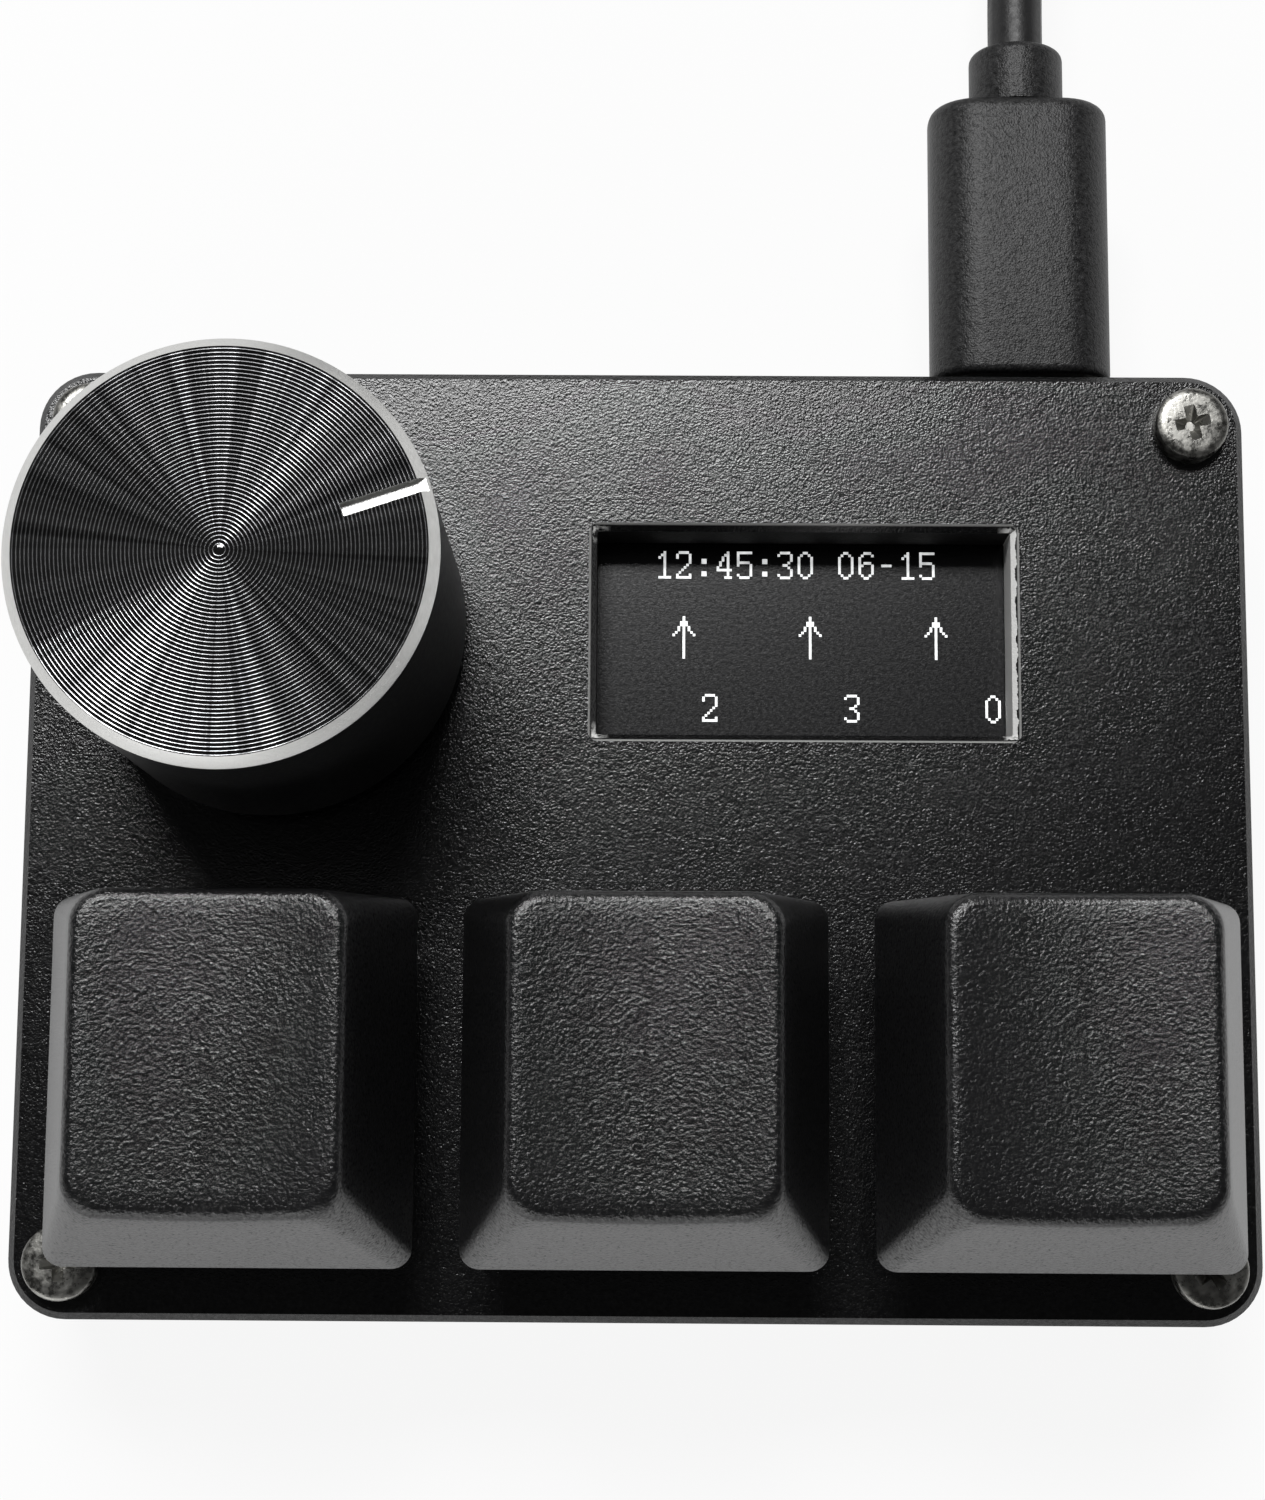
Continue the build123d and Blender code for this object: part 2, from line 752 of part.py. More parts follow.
# Lead, coil and far plug
cord_radius = cord_diameter / 2
coil_low_z = coil_lift + cord_radius
coil_high_z = coil_low_z + coil_pitch
coil_inner_radius = coil_mean_radius - coil_turns * coil_pitch / 4
coil_outer_radius = coil_mean_radius + coil_turns * coil_pitch / 4
coil_side_x = body_width / 2 + coil_overhang
coil_x = coil_side_x - coil_outer_radius
coil_y = cord_exit_y + lead_reach
far_plug_start = coil_x + far_plug_shift
far_plug_y = coil_y + coil_outer_radius + cord_radius + far_plug_gap + far_body_width / 2
far_plug_z = far_body_height / 2

# How far along each stretch, across, back and in height, its points lie, chosen by hand:
# out of the collar and down to the coil's side, then off the coil and round to the far plug.
lead_shares = (
    (0, 0.145, 0),
    (0.07, 0.316, 0.4),
    (0.33, 0.487, 0.855),
    (0.73, 0.63, 1),
    (1, 0.778, 1),
)
tail_shares = (
    (0, 0.262, 0),
    (0.015, 0.466, 1.06),
    (0.065, 0.67, 1.63),
    (0.286, 0.875, 1.63),
    (0.648, 1, 1),
)


def route_between(start, end, shares):
    # Points between start and end, at the given share of the way on each axis.
    return [
        tuple(first + share * (last - first) for first, last, share in zip(start, end, point))
        for point in shares
    ]


coil_start = (coil_side_x, coil_y, coil_low_z)
coil_end = (coil_side_x, coil_y, coil_high_z)
cord_exit = (plug_x, cord_exit_y, port_z)
far_collar_start = (far_plug_start, far_plug_y, far_plug_z)
lead_route = [
    cord_exit,
    *route_between(cord_exit, coil_start, lead_shares),
    (coil_side_x, coil_y - cord_diameter, coil_low_z),
]
tail_route = [
    (coil_side_x, coil_y + cord_diameter, coil_high_z),
    *route_between(coil_end, far_collar_start, tail_shares),
    far_collar_start,
]


def corner_radii(route):
    points = [Vector(*point) for point in route]
    runs = [after - before for before, after in zip(points, points[1:])]
    radii = []
    for before, after in zip(runs, runs[1:]):
        shorter = min(before.length, after.length)
        half_turn = math.radians(before.get_angle(after)) / 2
        radii.append(corner_run_share * shorter / math.tan(half_turn))
    return radii


def cord_tube(route, name):
    radii = corner_radii(route)
    path = FilletPolyline(*route, radius=radii)
    print(name, "radii", [round(radius, 1) for radius in radii], "length", round(path.length, 1))
    tube = sweep(Plane(path @ 0, z_dir=path % 0) * Circle(cord_radius), path=path)
    section_volume = math.pi * cord_radius**2 * path.length
    print(name, "volume against section times length", round(tube.volume / section_volume, 4))
    return tube


def coil_point(turn):
    # The spiral runs in at a steady rate, turns round half way and runs out again one layer higher.
    middle = coil_turns / 2
    radius = coil_inner_radius + coil_pitch * abs(turn - middle)
    climb_share = min(max((turn - middle) / coil_climb_turns + halfway_share, 0), 1)
    height = coil_low_z + coil_pitch * climb_share
    angle = 2 * math.pi * turn
    return Vector(coil_x + radius * math.cos(angle), coil_y + radius * math.sin(angle), height)


def coil_heading(turn):
    # At the coil's two ends the tube leaves square to the radius; the climb tilts only its middle.
    angle = 2 * math.pi * turn
    middle = coil_turns / 2
    radius = coil_inner_radius + coil_pitch * abs(turn - middle)
    drift = math.copysign(coil_pitch, turn - middle)
    rise = coil_pitch / coil_climb_turns
    if turn in (0, coil_turns, middle):
        drift = 0
    if turn != middle:
        rise = 0
    around = 2 * math.pi * radius
    return Vector(
        drift * math.cos(angle) - around * math.sin(angle),
        drift * math.sin(angle) + around * math.cos(angle),
        rise,
    ).normalized()


def biarc(start, start_heading, end, end_heading):
    # Two arcs that meet with a common tangent between two headed points.
    chord = end - start
    both = start_heading + end_heading
    spread = 2 * (1 - start_heading.dot(end_heading))
    along_both = chord.dot(both)
    reach = (math.sqrt(along_both**2 + spread * chord.dot(chord)) - along_both) / spread
    first_corner = start + start_heading * reach
    second_corner = end - end_heading * reach
    joint = first_corner + (second_corner - first_corner) * halfway_share
    first = TangentArc(start, joint, tangent=start_heading)
    second = TangentArc(joint, end, tangent=second_corner - first_corner)
    return [first, second]


def coil_path():
    steps = coil_turns * quarters_per_turn
    places = [step / quarters_per_turn for step in range(steps + 1)]
    level = Vector(0, 1, 0)
    first = coil_point(places[0])
    last = coil_point(places[-1])
    edges = [Line(first - level * cord_diameter, first)]
    for before, after in zip(places, places[1:]):
        edges += biarc(coil_point(before), coil_heading(before), coil_point(after), coil_heading(after))
    edges.append(Line(last, last + level * cord_diameter))
    return edges


def coil_self_gap(edges):
    # Least gap between any two stretches of the tube that lie more than a quarter turn apart along it.
    samples_per_edge = 12
    points = []
    for edge in edges:
        points += [edge @ (sample / samples_per_edge) for sample in range(samples_per_edge)]
    apart = 2 * samples_per_edge
    least = math.inf
    for number, point in enumerate(points):
        for other in points[number + apart :]:
            least = min(least, (point - other).length)
    return least - cord_diameter


def make_cable_coil():
    edges = coil_path()
    path = Wire(edges)
    print("coil length", round(path.length, 1), "gap to itself", round(coil_self_gap(edges), 3))
    return sweep(Plane(path @ 0, z_dir=path % 0) * Circle(cord_radius), path=path)


def make_coil_tie():
    # A flat strap round the bundle on the side away from both ends.
    half_width = tie_width / 2
    first_turn = coil_inner_radius + coil_pitch / 2
    last_turn = coil_outer_radius - coil_pitch / 2
    inner_side = math.sqrt((first_turn - cord_radius) ** 2 - half_width**2) - tie_gap
    outer_side = last_turn + cord_radius + tie_gap
    room_width = outer_side - inner_side
    room_height = coil_high_z + cord_radius + tie_gap - tie_thickness
    x = coil_x - (outer_side + inner_side) / 2
    strap = block(
        room_width + 2 * tie_thickness, tie_width, room_height + 2 * tie_thickness, x, coil_y, 0
    )
    return strap - block(room_width, tie_width + 2 * cut_overrun, room_height, x, coil_y, tie_thickness)


def make_far_plug():
    leftward = (-1, 0, 0)
    collar_end = far_plug_start - far_collar_length
    body_end = collar_end - far_body_length
    collar = along(
        far_plug_start, far_plug_y, far_plug_z, leftward, Circle(collar_diameter / 2), far_collar_length
    )
    section = RectangleRounded(far_body_width, far_body_height, far_body_corner)
    body = along(collar_end, far_plug_y, far_plug_z, leftward, section, far_body_length)
    body = fillet(body.edges().group_by(Axis.X)[-1], far_body_round)
    outer = RectangleRounded(far_shell_width, far_shell_height, far_shell_corner)
    room_width = far_shell_width - 2 * far_shell_wall
    room_height = far_shell_height - 2 * far_shell_wall
    inner = RectangleRounded(room_width, room_height, far_shell_corner - far_shell_wall)
    shell = along(body_end, far_plug_y, far_plug_z, leftward, outer, far_shell_length)
    shell -= along(body_end, far_plug_y, far_plug_z, leftward, inner, far_shell_length + cut_overrun)
    tongue_length_inside = far_shell_length - far_tongue_short
    tongue_bottom = far_plug_z - room_height / 2
    tongue = block(
        tongue_length_inside,
        far_tongue_width,
        far_tongue_thickness,
        body_end - tongue_length_inside / 2,
        far_plug_y,
        tongue_bottom,
    )
    return {
        "far_plug_collar": collar,
        "far_plug_overmold": body,
        "far_plug_shell": shell,
        "far_plug_tongue": tongue,
    }


def make_parts():
    parts = {
        "bottom_case": make_bottom_case(),
        "top_plate": make_top_plate(),
        "plate_screws": make_plate_screws(),
        "screw_inserts": make_screw_inserts(),
        "rubber_feet": make_rubber_feet(),
        "main_board": make_main_board(),
        "board_screws": make_board_screws(),
        "board_chips": make_board_chips(),
        "hall_sensors": make_hall_sensors(),
        "encoder_body": make_encoder_body(),
        "encoder_bracket": make_encoder_bracket(),
        "encoder_bush": make_encoder_bush(),
        "encoder_rotor": make_encoder_rotor(),
        "encoder_plunger": make_encoder_plunger(),
        "encoder_shaft": make_encoder_shaft(),
        "knob_shell": make_knob_shell(),
        "knob_insert": make_knob_insert(),
        "usb_socket_shell": make_usb_socket_shell(),
        "usb_socket_tongue": make_usb_socket_tongue(),
        "usb_plug_shell": make_usb_plug_shell(),
        "usb_plug_overmold": make_usb_plug_overmold(),
        "usb_plug_collar": make_usb_plug_collar(),
        "cable_lead": cord_tube(lead_route, "lead"),
        "cable_coil": make_cable_coil(),
        "cable_tail": cord_tube(tail_route, "tail"),
        "coil_tie": make_coil_tie(),
    }
    parts.update(make_display())
    parts.update(make_far_plug())
    for side, (x, y) in zip(key_names, key_places):
        parts["switch_base_" + side] = make_switch_base(x, y)
        parts["switch_top_" + side] = make_switch_top(x, y)
        parts["stem_" + side] = make_stem(x, y)
        parts["magnet_" + side] = make_magnet(x, y)
        parts["spring_" + side] = make_spring(x, y)
        parts["keycap_" + side] = make_keycap(x, y)
    return parts


os.makedirs("parts", exist_ok=True)
for name, solid in make_parts().items():
    export_step(solid, os.path.join("parts", name + ".step"))
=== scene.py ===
import math

import bmesh
import bpy
from bpy.props import FloatProperty, FloatVectorProperty, IntProperty, PointerProperty
from bpy.types import Operator, Panel, PropertyGroup
from mathutils import Matrix, Quaternion, Vector


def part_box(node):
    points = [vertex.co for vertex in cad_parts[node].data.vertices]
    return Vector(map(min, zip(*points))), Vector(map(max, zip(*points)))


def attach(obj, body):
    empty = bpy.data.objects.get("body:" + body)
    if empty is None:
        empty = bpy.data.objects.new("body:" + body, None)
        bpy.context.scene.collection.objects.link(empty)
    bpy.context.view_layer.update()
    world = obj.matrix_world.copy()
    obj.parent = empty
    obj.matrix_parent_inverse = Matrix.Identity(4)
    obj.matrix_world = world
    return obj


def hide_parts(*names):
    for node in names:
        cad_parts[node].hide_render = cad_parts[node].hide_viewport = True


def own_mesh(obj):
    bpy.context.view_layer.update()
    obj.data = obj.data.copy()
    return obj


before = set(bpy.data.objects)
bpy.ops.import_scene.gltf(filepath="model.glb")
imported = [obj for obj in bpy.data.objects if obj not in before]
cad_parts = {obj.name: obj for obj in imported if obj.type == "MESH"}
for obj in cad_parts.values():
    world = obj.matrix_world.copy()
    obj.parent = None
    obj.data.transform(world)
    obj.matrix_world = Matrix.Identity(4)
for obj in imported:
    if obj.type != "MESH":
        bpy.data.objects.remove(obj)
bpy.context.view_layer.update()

bl_info = {
    "name": "Desk keypad",
    "version": (1, 0, 0),
    "blender": (4, 5, 0),
    "location": "View3D > Sidebar > Keypad",
    "description": "Dresses a three-key desk keypad with a turned knob, a small screen and its lead",
    "category": "Object",
}

mm = 0.001
key_sides = ("left", "middle", "right")


def linear(code):
    """A linear colour from an sRGB hex code."""
    steps = [int(code[place : place + 2], 16) / 255 for place in (1, 3, 5)]
    return tuple(step / 12.92 if step <= 0.04045 else ((step + 0.055) / 1.055) ** 2.4 for step in steps)


def colour(name, code, description):
    return FloatVectorProperty(
        name=name, description=description, default=linear(code), size=3, subtype="COLOR", min=0.0, max=1.0
    )


def length(name, millimetres, description):
    return FloatProperty(
        name=name, description=description, default=millimetres * mm, min=0.0, precision=5, unit="LENGTH"
    )


class KeypadColours(PropertyGroup):
    """Colours of the keypad's finishes."""

    plate: colour("Plate", "#09090a", "Powder coat on the top plate")
    case: colour("Case", "#1a1a1c", "Moulded lower case")
    cap: colour("Key caps", "#121213", "Moulded key caps")
    knob: colour("Knob", "#141415", "Dyed anodising on the knob")
    lead: colour("Lead", "#101011", "Sheath of the lead and its plugs")
    screen: colour("Screen", "#0c0c0e", "Dark screen glass")
    pixel: colour("Pixels", "#eef0f0", "Lit screen pixels")


class KeypadSizes(PropertyGroup):
    """Sizes of the details that the dressed keypad adds."""

    cap_round: length("Cap edge round", 0.5, "Round along the top edge of a key cap")
    cap_dish: length("Cap dish", 0.7, "Depth of the hollow in a key cap's top")
    groove_pitch: length("Groove pitch", 0.19, "Distance between the turned grooves on the knob")
    groove_depth: length("Groove depth", 0.029, "Depth of the turned grooves on the knob")
    pixel_pitch: length("Pixel pitch", 0.1356, "Distance between screen pixels")
    cord_diameter: length("Lead diameter", 3.0, "Outside diameter of the lead")
    cord_length: length("Lead length", 1000.0, "Length of the lead from plug to plug")
    knob_sides: IntProperty(name="Knob sides", description="Facets round the knob", default=192, min=32)


def wire(tree, node, links):
    """Links a node's inputs, by name, to sockets or to the first outputs of other nodes."""
    for name, source in links.items():
        tree.links.new(getattr(source, "outputs", [source])[0], node.inputs[name])


def add_node(tree, kind, settings=None, links=None):
    """Adds a shader node, sets its sockets or properties by name and links its inputs."""
    node = tree.nodes.new("ShaderNode" + kind)
    for name, value in (settings or {}).items():
        if isinstance(name, int) or name in node.inputs:
            node.inputs[name].default_value = value
        else:
            setattr(node, name, value)
    wire(tree, node, links or {})
    return node


def vary(tree, shader, socket, factor, low, high, span=(0.3, 0.7)):
    """Runs a shader's input from low to high with a factor: numbers over a span, colours over all of it."""
    if isinstance(low, float):
        levels = {"From Min": span[0], "From Max": span[1], "To Min": low, "To Max": high}
        mix = add_node(tree, "MapRange", levels, {"Value": factor})
    else:
        mix = add_node(tree, "MixRGB", {"Color1": (*low, 1.0), "Color2": (*high, 1.0)}, {"Fac": factor})
    wire(tree, shader, {socket: mix})


def start_material(name, **settings):
    """A new material with constant shader inputs, its node tree, its shader and places in millimetres."""
    material = bpy.data.materials.new(name)
    material.use_nodes = True
    tree = material.node_tree
    shader = tree.nodes["Principled BSDF"]
    for socket, value in settings.items():
        shader.inputs[socket.replace("_", " ")].default_value = value
    place = add_node(tree, "TexCoord").outputs["Object"]
    scaled = add_node(tree, "Mapping", {"Scale": (1 / mm,) * 3}, {"Vector": place})
    return material, tree, shader, scaled


def noise(tree, place, size, detail, roughness=0.5):
    """A noise pattern whose broadest spots have a size in millimetres."""
    settings = {"Scale": 1 / size, "Detail": detail, "Roughness": roughness}
    return add_node(tree, "TexNoise", settings, {"Vector": place})


def emboss(tree, shader, height, depth):
    """Bumps a shader's surface with a height pattern, depth in millimetres."""
    wire(tree, shader, {"Normal": add_node(tree, "Bump", {"Distance": depth * mm}, {"Height": height})})


def grained(name, tint, roughness, grain, depth, tone=0.3, ior=1.5, fine=0.0, gloss=0.0):
    """An even grain: grain, fine and depth in millimetres, tone and gloss as shares of variation."""
    usual_gloss, rough_change = 0.5, 0.15
    material, tree, shader, place = start_material(name, IOR=ior)
    broad = noise(tree, place, grain, 3.0, 0.6)
    height = broad
    if fine:
        height = add_node(tree, "Math", {"operation": "ADD"}, {0: broad, 1: noise(tree, place, fine, 1.0)})
    emboss(tree, shader, height, depth)
    dark, pale = ([part * level for part in tint] for level in (1 - tone, 1 + tone))
    vary(tree, shader, "Base Color", broad, dark, pale)
    vary(tree, shader, "Roughness", broad, roughness * (1 - rough_change), roughness * (1 + rough_change))
    if gloss:
        vary(tree, shader, "Specular IOR Level", broad, usual_gloss * (1 - gloss), usual_gloss * (1 + gloss))
    return material


def powder_coated_plate(tint):
    """Powder-coated aluminium: a low orange-peel grain, worn to bare metal round the window, with painted
    highlights on its rim and lit wall.
    """
    # A soft sheen broken into fine specks; pale bare metal at the window's corners; the right wall is bare
    # metal painted pale only because it faces the light, and the rim's bevel has a painted highlight line.
    material = grained("powder_coated_aluminium", tint, 0.21, grain=0.22, depth=0.015, fine=0.11, gloss=0.25)
    tree = material.node_tree
    shader = tree.nodes["Principled BSDF"]
    # The pale colour is bare metal, and also a painted highlight on the rim's bevel and on the lit wall.
    rim_half, pale_metal_and_highlight = Vector((11.25, 5.8, 0.0)), linear("#eeeeec")
    place = add_node(tree, "TexCoord").outputs
    centred = {"Scale": (1 / mm,) * 3, "Location": -measure("display_glass")[2] / mm}
    around = add_node(tree, "Mapping", centred, {"Vector": place["Object"]})
    folded = add_node(tree, "VectorMath", {"operation": "ABSOLUTE"}, {0: around})
    beyond = add_node(tree, "VectorMath", {"operation": "SUBTRACT", 1: rim_half}, {0: folded})
    sides = add_node(tree, "SeparateXYZ", {}, {"Vector": beyond}).outputs
    facing = add_node(tree, "SeparateXYZ", {}, {"Vector": place["Normal"]}).outputs
    wear = noise(tree, around, 0.7, 5.0, 0.7)
    coat, sheen = (shader.inputs[socket].links[0].from_socket for socket in ("Base Color", "Roughness"))
    masks = {"past_x": sides["X"], "past_y": sides["Y"], "facing_x": facing["X"], "facing_z": facing["Z"]}
    masks |= {"wear": wear, "sheen": sheen}
    for name, operation, *terms in (
        # Millimetres past the nearest side of the window's rim, and past both sides at a corner.
        ("outside", "MAXIMUM", "past_x", "past_y"),
        ("corner", "MINIMUM", "past_x", "past_y"),
        ("inside", "LESS_THAN", "outside", 0.1),
        # The worn edge is broken, and wanders by a tenth of a millimetre or two round its mean place.
        ("broken", (0.42, 0.56, 1.0), "wear"),
        ("wander", "MULTIPLY_ADD", "wear", 0.5, -0.25),
        ("ragged", "ADD", "outside", "wander"),
        ("inner", "LESS_THAN", "ragged", -0.17),
        # Pale colour: walls that face left get bare metal painted only where they face the light, so partly a
        # painted highlight.
        # A thin painted highlight line runs on the bevel; the bevel's corners are worn to bare metal.
        ("leftward", "LESS_THAN", "facing_x", -0.6),
        ("wall", "MULTIPLY", "inner", "leftward"),
        ("bevel", "COMPARE", "facing_z", 0.6, 0.34),
        ("line", (-0.13, -0.07, 0.4), "outside"),
        ("nook", (-1.1, -0.5, 1.0), "corner"),
        ("nook", "MULTIPLY", "nook", "broken"),
        ("nook", "MULTIPLY", "nook", "inner"),
        ("edges", "MAXIMUM", "line", "nook"),
        ("edges", "MULTIPLY", "edges", "bevel"),
        ("edges", "MULTIPLY", "edges", "inside"),
        ("bare", "MAXIMUM", "wall", "edges"),
        # The cut walls of the window are dull, so they don't mirror the lit pixels.
        ("steep", "LESS_THAN", "facing_z", 0.26),
        ("cut", "MULTIPLY", "inside", "steep"),
        ("dull", "MULTIPLY", "cut", 0.7),
        ("rough", "MAXIMUM", "sheen", "dull"),
    ):
        if isinstance(operation, tuple):
            levels = dict(zip(("From Min", "From Max", "To Max"), operation))
            masks[name] = add_node(tree, "MapRange", levels, {"Value": masks[terms[0]]})
        else:
            settings, links = {"operation": operation}, {}
            for number, term in enumerate(terms):
                (links if term in masks else settings)[number] = masks.get(term, term)
            masks[name] = add_node(tree, "Math", settings, links)
    # Mixes the coat with the pale colour: worn bare metal and painted highlights.
    coat_worn_and_highlit = add_node(tree, "MixRGB", {"Color2": (*pale_metal_and_highlight, 1.0)}, {"Fac": masks["bare"], "Color1": coat})
    wire(tree, shader, {"Base Color": coat_worn_and_highlit, "Roughness": masks["rough"]})
    return material


def turned_knob_top(name, tint, dull, sharp):
    """Black anodised aluminium, face turned: the grooves throw fans of light with faint spokes in them."""
    material, tree, shader, place = start_material(name, Metallic=1.0)
    # Tool chatter makes spokes: the sheen changes round the face a few times a degree.
    around = add_node(tree, "TexGradient", {"gradient_type": "RADIAL"}, {"Vector": place}).outputs["Fac"]
    chatter = {"noise_dimensions": "1D", "Scale": 46.0, "Detail": 5.0, "Roughness": 0.75}
    spokes = add_node(tree, "TexNoise", chatter, {"W": around})
    clear = add_node(tree, "MapRange", {"From Min": 0.38, "From Max": 0.66}, {"Value": spokes})
    dark, pale = ([part * level for part in tint] for level in (0.55, 1.8))
    vary(tree, shader, "Base Color", clear, dark, pale)
    vary(tree, shader, "Roughness", spokes, dull, sharp)
    return material


def cut_metal(name, code, roughness, scratch):
    """Bare metal with fine tool lines: scratch is their spacing in millimetres."""
    line_stretch, line_depth = 0.12, 0.006
    material, tree, shader, place = start_material(name, Metallic=1.0, Base_Color=(*linear(code), 1.0))
    stretched = add_node(tree, "Mapping", {"Scale": (1.0, line_stretch, 1.0)}, {"Vector": place})
    lines = noise(tree, stretched, scratch, 4.0, 0.7)
    emboss(tree, shader, lines, line_depth)
    vary(tree, shader, "Roughness", lines, roughness * 0.6, roughness * 1.5)
    return material


def scuffed_nickel():
    """Nickel plate on steel: bright, with driver scuffs that break the shine."""
    material, tree, shader, place = start_material("steel_nickel_plated", Metallic=1.0)
    scuffs = noise(tree, place, 0.5, 6.0, 0.7)
    emboss(tree, shader, noise(tree, place, 0.18, 3.0), 0.01)
    vary(tree, shader, "Base Color", scuffs, linear("#5d5c59"), linear("#b4b3ae"))
    vary(tree, shader, "Roughness", scuffs, 0.16, 0.5, (0.35, 0.65))
    return material


def woven_nylon():
    """Woven nylon: rows of small loops with a soft edge sheen."""
    woven = "nylon_hook_and_loop_woven"
    material, tree, shader, place = start_material(woven, Roughness=0.85, IOR=1.5, Sheen_Weight=0.4)
    loops = add_node(tree, "TexVoronoi", {"Scale": 1 / 0.35}, {"Vector": place})
    emboss(tree, shader, loops, 0.12)
    vary(tree, shader, "Base Color", loops, linear("#2a2a2c"), linear("#0e0e10"))
    return material


def lit_cells(tint):
    """Lit liquid-crystal cells: an even cool white that varies a little from place to place."""
    white = {"Base_Color": (*tint, 1.0), "Emission_Color": (*tint, 1.0)}
    material, tree, shader, place = start_material("screen_pixel_lit", Roughness=0.4, IOR=1.5, **white)
    vary(tree, shader, "Emission Strength", noise(tree, place, 0.3, 1.0), 0.55, 0.9)
    return material


def board_laminate():
    """Glass-epoxy laminate under a very dark green mask: a faint weave under a semi-gloss coat."""
    material, tree, shader, place = start_material("glass_epoxy_laminate_masked", Roughness=0.38, IOR=1.5)
    cloth = {"Scale": 1 / 1.2, "Distortion": 0.4}
    weave = add_node(tree, "TexWave", cloth, {"Vector": place}).outputs["Fac"]
    emboss(tree, shader, weave, 0.01)
    vary(tree, shader, "Base Color", weave, linear("#141d18"), linear("#1d2b23"))
    return material


def skin(mesh, rings, bands=None, start=None, end=None, joined=False):
    """Skins rings of points. Bands, start and end are material indices; the last two close the ends."""
    loops = [[mesh.verts.new(point) for point in ring] for ring in rings]
    if joined:
        loops.append(loops[0])
    count = len(rings[0])
    for step, (before, after) in enumerate(zip(loops, loops[1:])):
        for place in range(count):
            other = (place + 1) % count
            face = mesh.faces.new((before[place], before[other], after[other], after[place]))
            face.material_index = bands[step] if bands else 0
    if start is not None:
        mesh.faces.new(loops[0][::-1]).material_index = start
    if end is not None:
        mesh.faces.new(loops[-1]).material_index = end


def quarter(steps):
    """Angles of a quarter turn, both ends included."""
    return [math.pi / 2 * step / steps for step in range(steps + 1)]


def circle(radius, height, sides):
    """Points round a level circle."""
    turns = [2 * math.pi * side / sides for side in range(sides)]
    return [Vector((radius * math.cos(turn), radius * math.sin(turn), height)) for turn in turns]


def rounded_outline(width, depth, corner, corner_steps=8, side_steps=6):
    """Points round a rectangle with round corners, starting on its right side."""
    bends = []
    for side_x, side_y, start in ((1, 1, 0), (-1, 1, 90), (-1, -1, 180), (1, -1, 270)):
        centre = Vector((side_x * (width / 2 - corner), side_y * (depth / 2 - corner), 0))
        turns = [math.radians(start + 90 * step / corner_steps) for step in range(corner_steps + 1)]
        bends.append([centre + Vector((math.cos(turn), math.sin(turn), 0)) * corner for turn in turns])
    points = []
    for bend, following in zip(bends, bends[1:] + bends[:1]):
        points += bend
        points += [bend[-1].lerp(following[0], step / side_steps) for step in range(1, side_steps)]
    return points


def add_object(name, data):
    """Adds an object to the scene."""
    added = bpy.data.objects.new(name, data)
    bpy.context.scene.collection.objects.link(added)
    return added


def make_piece(name, mesh, materials, body=None, nodes=(), smooth_below=35, location=(0, 0, 0)):
    """Turns a bmesh into a piece, which may ride on a body and stand for CAD nodes."""
    bmesh.ops.recalc_face_normals(mesh, faces=mesh.faces)
    data = bpy.data.meshes.new(name)
    mesh.to_mesh(data)
    mesh.free()
    data.shade_smooth()
    data.set_sharp_from_angle(angle=math.radians(smooth_below))
    for material in materials:
        data.materials.append(material)
    piece = add_object(name, data)
    piece.location = location
    if body:
        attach(piece, body)
    if nodes:
        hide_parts(*nodes)
    return piece


def carve(piece, cutters, smooth_below):
    """Cuts the cutters out of a piece that isn't riding yet, and removes them."""
    for cutter in cutters:
        cut = piece.modifiers.new("cut", "BOOLEAN")
        cut.object = cutter
        cut.solver = "EXACT"
        cut.material_mode = "TRANSFER"
    bpy.context.view_layer.update()
    carved = bpy.data.meshes.new_from_object(piece.evaluated_get(bpy.context.evaluated_depsgraph_get()))
    carved.set_sharp_from_angle(angle=math.radians(smooth_below))
    piece.modifiers.clear()
    piece.data = carved
    for cutter in cutters:
        bpy.data.objects.remove(cutter)


def finish_nodes(material, *names):
    """Gives CAD nodes a better material."""
    for name in names:
        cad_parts[name].material_slots[0].material = material


def measure(node):
    """The low and high corners, middle and size of a CAD node's box."""
    low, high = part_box(node)
    return low, high, (low + high) / 2, high - low


